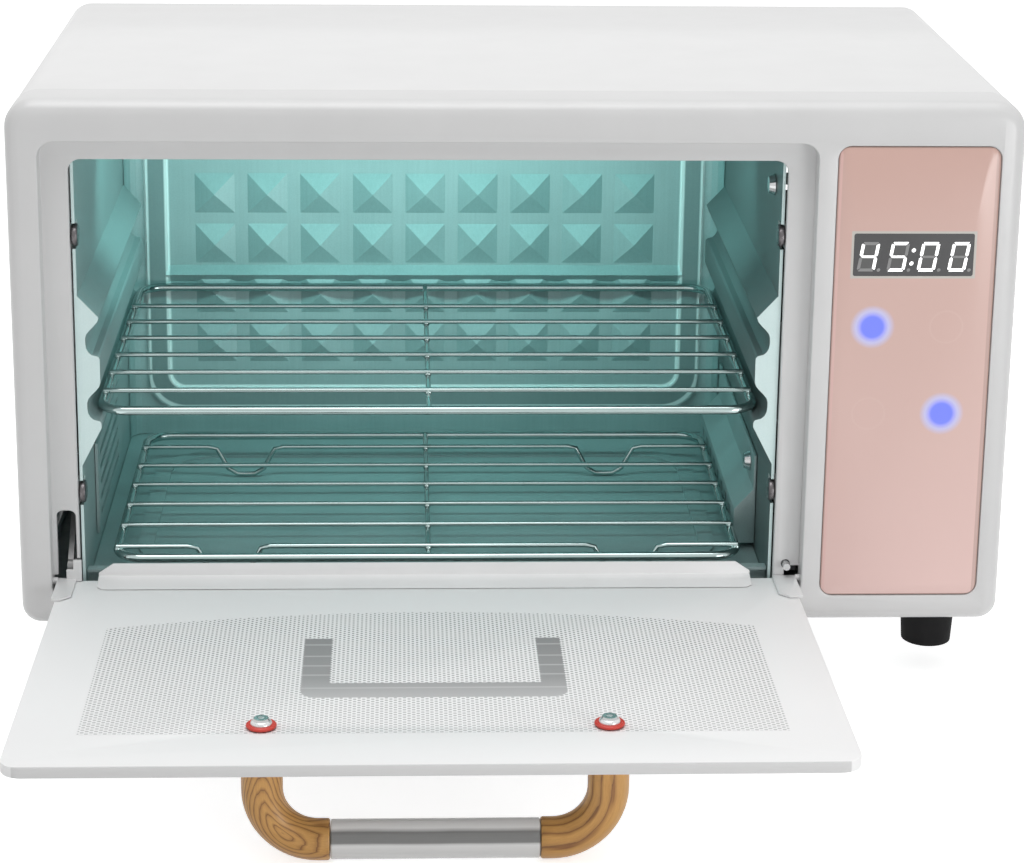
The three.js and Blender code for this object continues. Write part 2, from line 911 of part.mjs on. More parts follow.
// Raised bead round the back wall, with round corners
function backBead() {
  const x0 = chamberLeft + beadMargin;
  const x1 = chamberRight - beadMargin;
  const top = chamberTop - beadMargin;
  const w = beadWidth;
  const outer = roundRect(x0, x1, beadBottom, top, beadCorner);
  const inner = roundRect(x0 + w, x1 - w, beadBottom + w, top - w, beadCorner / 2);
  const ring = alongY(outer, chamberBack - beadRise, chamberBack + sheet / 2, 5);
  return ring.subtract(alongY(inner, chamberBack - beadRise - fit, chamberBack + sheet, 5));
}

// Curved strip that rounds an upright corner of the chamber; side is 1 where it grows towards +X
function cornerStrip(x, side) {
  const y = chamberBack + sheet / 2;
  const centre = [x + side * backCorner, chamberBack - backCorner];
  const points = quarter(centre, [-side * backCorner, 0], [0, backCorner], 4);
  const outline = polygon([...points, [x + side * backCorner, y], [x, y]]);
  return alongZ(outline, chamberFloor + fit, chamberTop - fit);
}

function pyramid(x, z) {
  const depth = pyramidRise + sheet / 2;
  const g = new THREE.ConeGeometry(pyramidWidth / Math.SQRT2, depth, 4);
  g.rotateY(Math.PI / 4);
  g.rotateX(Math.PI);
  g.scale(1, 1, pyramidHeight / pyramidWidth);
  g.translate(x, chamberBack + (sheet - depth) / 2, z);
  return solid(g);
}

// Ceiling with a front flange that meets the recess floor
function chamberCeiling() {
  const [x0, x1] = [chamberLeft - sheet, chamberRight + sheet];
  const top = chamberTop + sheet;
  const plate = block(x0, x1, chamberFront, chamberBack + sheet, chamberTop, top);
  const [a, b] = [chamberLeft + fit, chamberRight - fit];
  return plate.add(block(a, b, chamberFront, chamberFront + sheet, recessTop, top));
}

// Floor pan with its raised front lip
function chamberPan() {
  const flangeSweep = Math.hypot(railFlange, railRampEnd + clipSheet);
  const lipFront = axisY + flangeSweep + fit;
  const lipBack = trayBack + fit + lipDepth;
  const low = chamberFloor - sheet;
  const end = chamberBack - fit;
  const outline = [
    [lipFront, lipHeight - sheet],
    [lipBack - sheet, lipHeight - sheet],
    [lipBack - sheet, low],
    [end, low],
    [end, chamberFloor],
    [lipBack, chamberFloor],
    [lipBack, lipHeight],
    [lipFront, lipHeight],
  ];
  return alongX(polygon(outline), chamberLeft + fit, chamberRight - fit).add(panBead());
}

// Raised bead that stiffens the floor pan
function panBead() {
  const x0 = chamberLeft + panBeadMargin;
  const x1 = chamberRight - panBeadMargin;
  const w = panBeadWidth;
  const outer = roundRect(x0, x1, panBeadFront, panBeadBack, panBeadCorner);
  const inner = roundRect(x0 + w, x1 - w, panBeadFront + w, panBeadBack - w, panBeadCorner - w);
  const ring = alongZ(outer, chamberFloor - sheet / 2, chamberFloor + panBeadRise, 6);
  return ring.subtract(alongZ(inner, chamberFloor - sheet, chamberFloor + 2 * panBeadRise, 6));
}

// Points of half a rack's outer loop, from the middle of the front to the middle of the back
function rackHalf(side, half, front, back, z) {
  const x = middleX + side * half;
  const inner = x - side * rackCorner;
  const past = wire / 2;
  return [
    [middleX - side * past, front, z],
    ...quarter([inner, front + rackCorner, z], [0, -rackCorner, 0], [side * rackCorner, 0, 0], 4),
    ...quarter([inner, back - rackCorner, z], [side * rackCorner, 0, 0], [0, rackCorner, 0], 4),
    [middleX - side * past, back, z],
  ];
}

function rackFrame(half, front, back, z) {
  const loops = [-1, 1].map((side) => tube(rackHalf(side, half, front, back, z), wire, 8));
  const spine = rod("y", middleX, front, z + wire / 2, crossWire, back - front, 6);
  return joined([...loops, spine]);
}

function upperRack() {
  const half = (chamberRight - chamberLeft) / 2 - upperRackMargin;
  const z = upperRackZ + (wire + crossWire) * 0.8;
  const wires = [rackFrame(half, upperRackFront, upperRackBack, upperRackZ)];
  for (let i = 0; i < crossCount; i += 1) {
    wires.push(rod("x", middleX - half, upperCrossFirst + i * crossPitch, z, crossWire, 2 * half, 6));
  }
  return joined(wires);
}

function lowerRack() {
  const half = (chamberRight - chamberLeft) / 2 - lowerRackMargin;
  const z = lowerRackHeight + (wire + crossWire) * 0.8;
  const wires = [rackFrame(half, lowerRackFront, lowerRackBack, lowerRackHeight)];
  for (let i = 0; i < crossCount; i += 1) {
    const y = lowerCrossFirst + i * crossPitch;
    if (i === 0 || i === crossCount - 1) wires.push(leggedWire(half, y, z));
    else wires.push(rod("x", middleX - half, y, z, crossWire, 2 * half, 6));
  }
  return joined(wires);
}

// A cross wire that dips to the floor twice
function leggedWire(half, y, z) {
  const low = chamberFloor + fit + crossWire;
  const points = [[middleX - half, y, z]];
  for (const side of [-1, 1]) {
    const x = middleX + side * (half - legInset);
    points.push([x - legSpan / 2, y, z]);
    points.push([x - legFlat / 2, y, low]);
    points.push([x + legFlat / 2, y, low]);
    points.push([x + legSpan / 2, y, z]);
  }
  points.push([middleX + half, y, z]);
  return tube(points, crossWire, 6);
}

// Door glass, drawn flat from the hinge axis towards its free edge
function doorGlass() {
  const s = new THREE.Shape();
  const free = -glassReach;
  s.moveTo(glassLeft, glassTail);
  s.lineTo(glassLeft, free + glassCorner);
  s.absarc(glassLeft + glassCorner, free + glassCorner, glassCorner, Math.PI, 1.5 * Math.PI, false);
  s.lineTo(glassRight - glassCorner, free);
  s.absarc(glassRight - glassCorner, free + glassCorner, glassCorner, 1.5 * Math.PI, 2 * Math.PI, false);
  s.lineTo(glassRight, glassTail);
  let body = alongZ(s, glassUnder, glassTop, 6);
  for (const x of handlePlaces()) {
    body = body.subtract(rod("z", x, -handleReach, glassUnder - overrun, glassHole, glass + 2 * overrun));
  }
  return body;
}

function handlePlaces() {
  return [handleX - handleSpan / 2, handleX + handleSpan / 2];
}

// Folded rail on the hinge side: a ramp on the glass and an upright flange with cut corners
function doorRail() {
  const under = glassTop + fit;
  const front = -railFront;
  const bend = railRampEnd;
  const profile = [
    [front, under],
    [bend, under + railRampRise],
    [bend, railFlange],
    [bend + clipSheet, railFlange],
    [bend + clipSheet, under],
    [bend - clipSheet, under],
  ];
  const left = glassLeft + railInset;
  const right = glassRight - railInsetRight;
  let body = alongX(polygon(profile), left, right);
  for (const side of [-1, 1]) {
    const x = side < 0 ? left : right;
    const corner = [
      [x + side * overrun, railFlange - railChamferZ],
      [x, railFlange - railChamferZ],
      [x - side * railChamferX, railFlange],
      [x - side * railChamferX, railFlange + overrun],
      [x + side * overrun, railFlange + overrun],
    ];
    body = body.subtract(alongY(polygon(corner), bend - fit, bend + overrun));
    const tip = [
      [x + side * overrun, front - overrun],
      [x + side * overrun, front + railCorner],
      [x, front + railCorner],
      [x - side * railCorner, front],
      [x - side * railCorner, front - overrun],
    ];
    body = body.subtract(alongZ(polygon(tip), under - overrun, railFlange));
  }
  return body;
}

// Hinge clip: a plate on the glass, an ear past its edge and the pin; side is -1 on the left
function hingeClip(side) {
  const under = glassTop + fit;
  const edge = side < 0 ? glassLeft : glassRight;
  const outer = edge - side * clipInset;
  const inner = outer - side * (side < 0 ? leftClipWidth : clipWidth);
  const corner = [
    [inner, glassTail],
    [inner, -clipLength + clipCorner],
    [inner + side * clipCorner, -clipLength],
    [edge + side * (fit + earSheet), -clipLength],
    [edge + side * (fit + earSheet), -earFront - clipCorner],
    [edge + side * (fit + earSheet), glassTail],
  ];
  let body = alongZ(polygon(corner), under, under + clipSheet);
  const ear0 = edge + side * fit;
  const ear1 = edge + side * (fit + earSheet);
  const [a, b] = [Math.min(ear0, ear1), Math.max(ear0, ear1)];
  body = body.add(block(a, b, -earFront, glassTail, glassUnder + clipSheet, under + clipSheet));
  const start = side < 0 ? ear1 - pinLength : ear1 - fit / 3;
  body = body.add(rod("x", start, 0, 0, pinRadius, pinLength + fit / 3, coarse));
  if (side > 0) return body;
  return body.add(uprightPlate()).add(linkLug());
}

// Upright plate of the left clip, which carries the closing link
function uprightPlate() {
  const x = uprightLeft();
  const plate = block(x, x + uprightWidth, uprightBack, glassTail, glassTop + fit, uprightTop);
  const lug = linkX() + linkSheet + fit;
  const low = linkPivotZ - linkClear;
  const way = block(x - fit, lug, uprightBack - fit, glassTail + fit, low, uprightTop + fit);
  return plate.subtract(way);
}

function uprightLeft() {
  return glassLeft + uprightInset;
}

function linkX() {
  return uprightLeft() + fit;
}

function linkLug() {
  const x = linkX() + linkSheet + fit;
  const half = linkPin + clipSheet;
  const body = block(x, x + clipSheet, uprightBack, linkPivotY + half, linkPivotZ - half, linkPivotZ + half);
  return body.add(linkLugPin(x));
}

function linkLugPin(x) {
  return rod("x", linkX() - fit, linkPivotY, linkPivotZ, linkPin, x - linkX() + 2 * fit, coarse);
}

// Closing link, drawn from its pivot
function linkArm() {
  const turn = (linkTilt * Math.PI) / 180;
  const x0 = -linkSheet / 2;
  const along = [Math.cos(turn), Math.sin(turn)];
  const across = [-Math.sin(turn), Math.cos(turn)];
  const half = linkWidth / 2;
  const at = (d, w) => [along[0] * d + across[0] * w, along[1] * d + across[1] * w];
  const outline = [at(0, -half), at(linkLength, -half), at(linkLength, half), at(0, half)];
  const bar = alongX(polygon(outline), x0, x0 + linkSheet);
  const eye = rod("x", x0, 0, 0, linkEye, linkSheet, round);
  const end = rod("x", x0, ...at(linkLength, 0), half, linkSheet, coarse);
  const hole = rod("x", x0 - overrun, 0, 0, linkPin + fit, linkSheet + 2 * overrun, coarse);
  return joined([bar, eye, end]).subtract(hole);
}

// World places of the link's pivot and far end with the door open
function linkPivotWorld() {
  const c = Math.cos(openTiltAngle);
  const s = Math.sin(openTiltAngle);
  return [axisY + linkPivotY * c - linkPivotZ * s, axisZ + linkPivotY * s + linkPivotZ * c];
}

function springFoot() {
  const turn = (linkTilt * Math.PI) / 180 + openTiltAngle;
  const [y, z] = linkPivotWorld();
  const d = linkLength + linkWidth / 2 + 2 * fit;
  return [y + d * Math.cos(turn), z + d * Math.sin(turn), turn];
}

function springTop() {
  const [y, z, turn] = springFoot();
  return [y + springLength * Math.cos(turn), z + springLength * Math.sin(turn)];
}

function doorSpring() {
  const [y, z, turn] = springFoot();
  const hook = springRadius;
  const shaft = new THREE.CylinderGeometry(springRadius, springRadius, springLength - 2 * hook, coarse);
  shaft.translate(0, springLength / 2, 0);
  const ends = new THREE.CylinderGeometry(linkPin, linkPin, springLength, 8);
  ends.translate(0, springLength / 2, 0);
  const place = (g) => {
    g.rotateX(turn);
    g.translate(linkX() + linkSheet / 2, y, z);
    return solid(g);
  };
  return place(shaft).add(place(ends));
}

// Handle, hung under the glass
function handleElbow(side) {
  const x = handleX + (side * handleSpan) / 2;
  const top = glassUnder - fit;
  const bendX = x - side * elbowBend;
  const bendZ = handleZ + elbowBend;
  const end = x - side * elbowLength;
  const points = [
    [x, 0, top],
    ...quarter([bendX, 0, bendZ], [side * elbowBend, 0, 0], [0, 0, -elbowBend], 7),
    [end, 0, handleZ],
  ];
  const body = tube(points, elbowRadius, 16);
  const bore = rod("z", x, 0, top - screwLength, screwShank + fit, screwLength + overrun, coarse);
  const length = spigotLength + fit + overrun;
  const start = side < 0 ? end - spigotLength - fit : end - overrun;
  return body.subtract(bore).subtract(rod("x", start, 0, handleZ, spigotRadius + fit, length, round));
}

function handleBar() {
  const end = handleSpan / 2 - elbowLength;
  const bar = rod("x", handleX - end + fit, 0, handleZ, barRadius, 2 * (end - fit), fine);
  const reach = end + spigotLength;
  return bar.add(rod("x", handleX - reach, 0, handleZ, spigotRadius, 2 * reach, round));
}

function handleScrew(x) {
  const seat = glassTop + fit + washerHeight + fit;
  const head = rod("z", x, 0, seat, screwHead, screwHeadHeight, round, screwHead * 0.7);
  const length = seat - glassUnder + fit + screwLength - 2 * sheet;
  return head.add(rod("z", x, 0, seat - length, screwShank, length + fit, coarse));
}

function handleWasher(x) {
  const ring = rod("z", x, 0, glassTop + fit, washerRadius, washerHeight, round);
  return ring.subtract(rod("z", x, 0, -overrun, screwShank + fit, 2 * overrun, coarse));
}

// Control panel and what lies behind it
function controlPanel() {
  const right = panelLeft + panelWidth;
  const shape = roundRect(panelLeft, right, panelBottom, panelBottom + panelHeight, panelCorner);
  const face = panelPocket - panelSheet - fit;
  let body = alongY(shape, face, face + panelSheet, 6);
  const [x0, x1, z0, z1] = displayBounds(-fit);
  body = body.subtract(block(x0, x1, -overrun, overrun, z0, z1));
  for (const [x, z] of keyPlaces()) {
    body = body.subtract(rod("y", x, -overrun, z, keyRadius + fit, 2 * overrun, round));
  }
  return body;
}

function displayWindow() {
  const [x0, x1, z0, z1] = displayBounds(0);
  const face = panelPocket - panelSheet - fit / 2;
  return block(x0, x1, face, face + displaySheet, z0, z1);
}

function displayModule() {
  const [x0, x1, z0, z1] = displayBounds(0);
  const front = panelPocket - panelSheet - fit / 2 + displaySheet + fit;
  return block(x0, x1, front, boardY() - fit, z0, z1);
}

function boardY() {
  return boardSetback;
}

function touchKey(x, z) {
  const face = panelPocket - panelSheet - fit / 2;
  return rod("y", x, face, z, keyRadius, boardY() - fit - face, round);
}

function controlBoard() {
  const x0 = panelLeft + boardMargin;
  const x1 = panelLeft + panelWidth - boardMargin;
  let body = block(x0, x1, boardY(), boardY() + boardSheet, boardBottom, boardTop);
  for (const x of [x0, x1 - boardMargin]) {
    const post = [x, x + boardMargin, bezelWall + 2 * fit, boardY() + fit];
    body = body.add(block(...post, boardBottom, boardBottom + boardMargin));
    body = body.add(block(...post, boardTop - boardMargin, boardTop));
  }
  return body;
}

// Screws at the sides of the opening, their heads against the bezel's lugs
function openingScrew(side, z) {
  const edge = side < 0 ? openingLeft : openingRight;
  const seat = edge - side * fit;
  const start = side < 0 ? seat : seat - wallScrewHead;
  const shankStart = side < 0 ? seat - wallScrewLength : seat - fit;
  const head = rod("x", start, wallScrewY, z, wallScrewRadius, wallScrewHead, round);
  return head.add(rod("x", shankStart, wallScrewY, z, wallScrewShank, wallScrewLength + fit, coarse));
}

function panScrew(y, z, standOff) {
  const face = chamberRight - fit - standOff;
  return rod("x", face - panHead, y, z, panRadius * 0.75, panHead, round, panRadius);
}

// UV lamp along X, drawn on its own axis: glass tube, end caps and contact pins
function lampTube() {
  const pieces = [rod("x", -lampLength / 2, 0, 0, lampRadius, lampLength, fine)];
  for (const side of [-1, 1]) {
    const start = side < 0 ? -lampLength / 2 - capLength : lampLength / 2;
    pieces.push(rod("x", start, 0, 0, capRadius, capLength, fine));
    const from = side < 0 ? start - contactLength : start + capLength - fit;
    for (const k of [-1, 1]) {
      pieces.push(rod("x", from, k * contactOffset, 0, contactRadius, contactLength + fit, 8));
    }
  }
  return joined(pieces);
}

// Lamp socket: a block with a round race that the contacts turn in
function lampSocket(side) {
  const near = middleX + side * (lampLength / 2 + capLength + fit);
  const far = near + side * socketLength;
  const [a, b] = [Math.min(near, far), Math.max(near, far)];
  const half = socketWidth / 2;
  const body = block(a, b, lampY - half, lampY + half, lampZ - half, chamberTop - fit);
  const race = contactOffset + contactRadius + 2 * fit;
  const depth = contactLength + 2 * fit;
  const start = side < 0 ? near - depth : near - fit;
  return body.subtract(rod("x", start, lampY, lampZ, race, depth + fit, round));
}

// Spring clip round the lamp, hung from the ceiling
function lampClip(side) {
  const x = middleX + (side * clipGap) / 2 - clipWire / 2;
  const inner = lampRadius + fit;
  const outer = inner + lampClipSheet;
  const ring = rod("x", x, lampY, lampZ, outer, clipWire, fine);
  const high = chamberTop - reflectorSheet - 2 * fit;
  const post = block(x, x + clipWire, lampY - inner, lampY + inner, lampZ, high);
  const bore = rod("x", x - overrun, lampY, lampZ, inner, clipWire + 2 * overrun, fine);
  return ring.add(post).subtract(bore);
}

function lampReflector() {
  const half = lampLength / 2 - capLength;
  const top = chamberTop - fit;
  return block(
    middleX - half,
    middleX + half,
    lampY - reflectorWidth / 2,
    lampY + reflectorWidth / 2,
    top - reflectorSheet,
    top,
  );
}

// Duct cover on the right wall: a boxed hood with a sloping top, louvres and a fixing flange
function ductCover() {
  const wall = chamberRight - fit;
  const face = wall - ductRise;
  const outer = [
    [wall, ductBottom],
    [wall, ductFlangeTop],
    [wall - ductSheet, ductFlangeTop],
    [wall - ductSheet, ductShoulder + ductRise],
    [face, ductShoulder],
    [face, ductBottom],
  ];
  const inner = [
    [wall + overrun, ductBottom + ductSheet],
    [wall + overrun, ductShoulder + ductRise - ductSheet],
    [wall - ductSheet, ductShoulder + ductRise - 1.5 * ductSheet],
    [face + ductSheet, ductShoulder - ductSheet / 2],
    [face + ductSheet, ductBottom + ductSheet],
  ];
  let body = alongY(polygon(outer), ductFront, ductBack);
  body = body.subtract(alongY(polygon(inner), ductFront + ductSheet, ductBack - ductSheet));
  const pitch = (ductBack - ductFront) / (ductLouvres + 1);
  for (let i = 1; i <= ductLouvres; i += 1) {
    const y = ductFront + i * pitch;
    const low = ductBottom + 4 * ductSheet;
    body = body.subtract(
      block(face - overrun, face + 2 * ductSheet, y, y + ductLouvreWidth, low, ductShoulder - 4 * ductSheet),
    );
  }
  return body;
}

function fanFrame() {
  const x0 = chamberRight + sheet + fit;
  const half = fanSize / 2;
  const body = block(x0, x0 + fanDepth, fanY - half, fanY + half, fanZ - half, fanZ + half);
  const bore = rod("x", x0 - overrun, fanY, fanZ, fanBore, fanDepth + 2 * overrun, fine);
  const back = x0 + fanDepth - sheet;
  const seat = rod("x", back, fanY, fanZ, fanHub, sheet, round);
  const arm = block(back, back + sheet, fanY - half + fit, fanY + half - fit, fanZ - sheet, fanZ + sheet);
  const hole = rod("x", back - overrun, fanY, fanZ, fanShaft + fit, sheet + 2 * overrun, coarse);
  return body.subtract(bore).add(seat).add(arm).subtract(hole);
}

// Fan rotor, drawn on its own axis
function fanRotor() {
  const length = fanDepth - 2 * sheet - 2 * fit;
  const pieces = [rod("x", 0, 0, 0, fanHub, length, round)];
  pieces.push(rod("x", 0, 0, 0, fanShaft, length + fit + sheet, coarse));
  for (let i = 0; i < fanBlades; i += 1) {
    const g = new THREE.BoxGeometry(bladeHeight, bladeThickness, fanBore - fanHub + bladeHub - 2 * fit);
    g.rotateZ(Math.PI / 5);
    g.translate(0, 0, (fanBore + fanHub - bladeHub) / 2 - fit);
    g.rotateX((2 * Math.PI * i) / fanBlades);
    g.translate(length / 2, 0, 0);
    pieces.push(solid(g));
  }
  return joined(pieces);
}

function fanX() {
  return chamberRight + sheet + 2 * fit + sheet / 2;
}

// Heater block with fins, behind the fan
function heater() {
  const x0 = chamberRight + sheet + fit + fanDepth + fit;
  let body = block(
    x0,
    x0 + heaterDepth,
    fanY - heaterLength / 2,
    fanY + heaterLength / 2,
    fanZ - heaterHeight / 2,
    fanZ + heaterHeight / 2,
  );
  const pitch = heaterLength / (heaterFins + 1);
  for (let i = 1; i <= heaterFins; i += 1) {
    const y = fanY - heaterLength / 2 + i * pitch - heaterFinGap / 2;
    const high = fanZ + heaterHeight / 2 - 2 * sheet;
    const low = fanZ - heaterHeight / 2 + 2 * sheet;
    body = body.subtract(block(x0 - overrun, x0 + heaterDepth + overrun, y, y + heaterFinGap, low, high));
  }
  const way = rod("x", x0 - overrun, fanY, fanZ, fanShaft + 2 * fit, overrun + 2 * sheet, coarse);
  return body.subtract(way);
}

// Vent grille let into the left wall
function ventGrille() {
  const face = chamberLeft + fit;
  const end = grilleFront + grilleLength;
  let body = block(face, face + sheet, grilleFront, end, grilleBottom, grilleBottom + grilleHeight);
  const pitch = grilleHeight / (grilleSlots + 1);
  for (let i = 1; i <= grilleSlots; i += 1) {
    const z = grilleBottom + i * pitch - grilleSlot / 2;
    const y0 = grilleFront + 3 * grilleSlot;
    const y1 = grilleFront + grilleLength - 3 * grilleSlot;
    body = body.subtract(block(face - overrun, face + overrun, y0, y1, z, z + grilleSlot));
  }
  return body;
}

// Electronics carried on the base and the walls
function powerBoard() {
  const y1 = powerBoardFront + powerBoardLength;
  const board = block(
    powerBoardX,
    powerBoardX + boardSheet,
    powerBoardFront,
    y1,
    powerBoardBottom,
    powerBoardBottom + powerBoardHeight,
  );
  const wallX = coverHalf - sheet - fit;
  const posts = [powerBoardFront, y1 - boardMargin].map((y) =>
    block(powerBoardX + fit, wallX, y, y + boardMargin, powerBoardBottom, powerBoardBottom + boardMargin),
  );
  const parts = block(
    powerBoardX - ballastDepth,
    powerBoardX + fit,
    powerBoardFront + ballastDepth,
    powerBoardFront + 2 * ballastDepth,
    powerBoardBottom + boardMargin,
    powerBoardBottom + boardMargin + ballastDepth,
  );
  return joined([board, ...posts, parts]);
}

function lampBallast() {
  const x0 = chamberRight + sheet + fit;
  return block(
    x0,
    x0 + ballastDepth,
    ballastFront,
    ballastFront + ballastLength,
    ballastBottom,
    ballastBottom + ballastHeight,
  );
}

// Door switch behind the recess floor, with its plunger through the floor
function doorSwitch() {
  const y0 = trayBack + fit;
  const x = plungerX();
  const body = block(
    x - switchWidth / 2,
    x + switchWidth / 2,
    y0,
    y0 + switchLength,
    plungerZ - switchHeight / 4,
    plungerZ + switchHeight,
  );
  return body.subtract(rod("y", x, y0 - fit, plungerZ, plungerRadius + fit, switchLength * 0.8, coarse));
}

function switchPlunger() {
  const length = trayBack + fit + switchLength / 3 - plungerReach;
  return rod("y", plungerX(), plungerReach, plungerZ, plungerRadius, length, coarse);
}

// The whole cabinet, standing in its own frame
const cabinet = new THREE.Group();
cabinet.position.set(0, -(coverEnd + doorFront()) / 2, -handleLowest);

function doorFront() {
  return axisY - glassReach * Math.cos(openTiltAngle) + glassUnder * -Math.sin(openTiltAngle);
}

cabinet.add(
  mesh("front_bezel", frontBezel(), "bezelWhite"),
  mesh("outer_cover", outerCover(), "whiteEnamel"),
  mesh("base_panel", basePanel(), "bareSteel"),
  mesh("rear_panel", rearPanel(), "whiteEnamel"),
  mesh("power_inlet", powerInlet(), "darkPlastic"),
  mesh("chamber_left_wall", chamberWall(-1), "steel"),
  mesh("chamber_right_wall", chamberWall(1), "steel"),
  mesh("chamber_back_wall", chamberBackWall(), "steel"),
  mesh("chamber_ceiling", chamberCeiling(), "steel"),
  mesh("chamber_floor_pan", chamberPan(), "steel"),
  mesh("upper_rack", upperRack(), "chrome"),
  mesh("lower_rack", lowerRack(), "chrome"),
  mesh("control_panel", controlPanel(), "pink"),
  mesh("display_window", displayWindow(), "black"),
  mesh("display_module", displayModule(), "darkPlastic"),
  mesh("control_board", controlBoard(), "board"),
  mesh("duct_cover", ductCover(), "steel"),
  mesh("fan_frame", fanFrame(), "darkPlastic"),
  mesh("drying_heater", heater(), "aluminium"),
  mesh("left_vent_grille", ventGrille(), "steel"),
  mesh("power_board", powerBoard(), "board"),
  mesh("lamp_ballast", lampBallast(), "darkPlastic"),
  mesh("door_switch", doorSwitch(), "darkPlastic"),
  mesh("switch_plunger", switchPlunger(), "bareSteel"),
  mesh("door_spring", doorSpring(), "bareSteel"),
  mesh("lamp_reflector", lampReflector(), "aluminium"),
  mesh("wall_screw_upper", panScrew(panUpperY, panUpperZ, 0), "chrome"),
  mesh("wall_screw_lower", panScrew(panLowerY, panLowerZ + ductSheet, ductSheet + fit), "chrome"),
);
const footNames = ["front_left", "front_right", "rear_left", "rear_right"];
footPlaces().forEach(([x, y], i) => cabinet.add(mesh("foot_" + footNames[i], foot(x, y), "rubber")));
const cornerNames = ["left", "right"];
rearScrewPlaces().forEach(([x, z], i) => {
  cabinet.add(mesh("rear_screw_" + cornerNames[i], rearScrew(x, z), "chrome"));
});
keyPlaces().forEach(([x, z], i) => cabinet.add(mesh("touch_key_" + (i + 1), touchKey(x, z), "lightGuide")));
for (const [side, name] of [
  [-1, "left"],
  [1, "right"],
]) {
  cabinet.add(mesh("lamp_socket_" + name, lampSocket(side), "ceramic"));
  cabinet.add(mesh("lamp_clip_" + name, lampClip(side), "bareSteel"));
  cabinet.add(mesh("opening_screw_low_" + name, openingScrew(side, wallScrewLow), "chrome"));
  cabinet.add(mesh("opening_screw_high_" + name, openingScrew(side, wallScrewHigh), "chrome"));
}

const lamp = new THREE.Group();
lamp.position.set(middleX, lampY, lampZ);
lamp.add(mesh("uv_lamp", lampTube(), "lampGlass"));
cabinet.add(lamp);

const rotor = new THREE.Group();
rotor.position.set(fanX(), fanY, fanZ);
rotor.add(mesh("fan_rotor", fanRotor(), "darkPlastic"));
cabinet.add(rotor);

const door = new THREE.Group();
door.position.set(0, axisY, axisZ);
door.rotation.x = openTiltAngle;
door.add(
  mesh("door_glass", doorGlass(), "whiteGlass"),
  mesh("door_rail", doorRail(), "whiteEnamel"),
  mesh("hinge_clip_left", hingeClip(-1), "whiteEnamel"),
  mesh("hinge_clip_right", hingeClip(1), "whiteEnamel"),
);
const link = new THREE.Group();
link.position.set(linkX() + linkSheet / 2, linkPivotY, linkPivotZ);
link.add(mesh("closing_link", linkArm(), "bareSteel"));
door.add(link);
const handle = new THREE.Group();
handle.position.set(0, -handleReach, 0);
handle.add(
  mesh("handle_elbow_left", handleElbow(-1), "wood"),
  mesh("handle_elbow_right", handleElbow(1), "wood"),
  mesh("handle_bar", handleBar(), "chrome"),
);
handlePlaces().forEach((x, i) => {
  const name = ["left", "right"][i];
  handle.add(mesh("handle_screw_" + name, handleScrew(x), "chrome"));
  handle.add(mesh("handle_washer_" + name, handleWasher(x), "redRubber"));
});
door.add(handle);
cabinet.add(door);

export default cabinet;
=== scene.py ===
"""Looks of a bench-top sterilizing cabinet with a drop-down glass door. Places in metres."""
import json
import math

import bmesh
import bpy
from mathutils import Matrix, Vector


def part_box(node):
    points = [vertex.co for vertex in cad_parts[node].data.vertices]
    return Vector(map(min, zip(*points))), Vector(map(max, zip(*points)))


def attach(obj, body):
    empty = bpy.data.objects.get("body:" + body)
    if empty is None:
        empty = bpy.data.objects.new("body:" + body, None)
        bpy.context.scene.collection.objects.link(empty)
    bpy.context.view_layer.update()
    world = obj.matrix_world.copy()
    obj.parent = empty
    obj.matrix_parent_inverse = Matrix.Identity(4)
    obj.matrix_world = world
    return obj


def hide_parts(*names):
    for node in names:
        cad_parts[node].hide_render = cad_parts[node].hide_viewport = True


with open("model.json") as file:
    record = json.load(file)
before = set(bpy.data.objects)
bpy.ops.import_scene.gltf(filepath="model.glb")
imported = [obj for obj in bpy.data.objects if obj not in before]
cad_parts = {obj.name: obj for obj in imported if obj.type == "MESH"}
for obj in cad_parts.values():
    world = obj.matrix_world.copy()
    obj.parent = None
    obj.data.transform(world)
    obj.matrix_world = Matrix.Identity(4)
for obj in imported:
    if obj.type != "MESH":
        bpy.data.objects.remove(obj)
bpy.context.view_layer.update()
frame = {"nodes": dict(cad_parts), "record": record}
nodes = frame["nodes"]
MM = 0.001
record_slots = {s["node"]: s["material_slot"] for s in frame["record"]["subparts"]}
node_body = {n: b for b, members in frame["record"]["behaviour"]["bodies"].items() for n in members}
made = set()

# Camera: lengths in picture pixels, angles in radians, place in the cabinet's millimetres
image_width = 1024
image_height = 863
focal_pixels = 2682.9
principal_row = 260
camera_yaw = 0.04339
camera_pitch = 0.26822
camera_roll = 0.01242
camera_place = (-46.44, -1018.81, 434.69)
camera_clip = (0.05, 20)
sensor_width = 36

# Cabinet and door, in millimetres from the middle of the front face's lower edge
middle_x = -34.5
recess_sides = (-187, 118)
recess_depth = 8
axis_y = 6
axis_z = 17.2
open_tilt = math.radians(-1.78)
glass_top = -0.7
glass_thick = 4
glass_reach = 180.6

# Handle
handle_reach = 147.5
handle_x = -33.4
handle_xs = (-95.4, 28.6)
handle_z = -43.9
elbow_length = 24.1
elbow_bend = 20
elbow_radius = 7.5
elbow_steps = 16
elbow_end_soft = (0.6, 0.4)
bar_radius = 7.2
bar_end_soft = 0.4
seat_gap = 0.3

# Bead pressed into the back wall, with painted highlight lines along its two bends and painted shade between
# them
bead_outline = (-164.9, 95.9, 26, 196.4)
bead_width = 9.6
bead_corner = 17
bead_highlight_band = (-0.9, 1.0)
bead_shade_inset = 1.1
bead_soft = 0.7
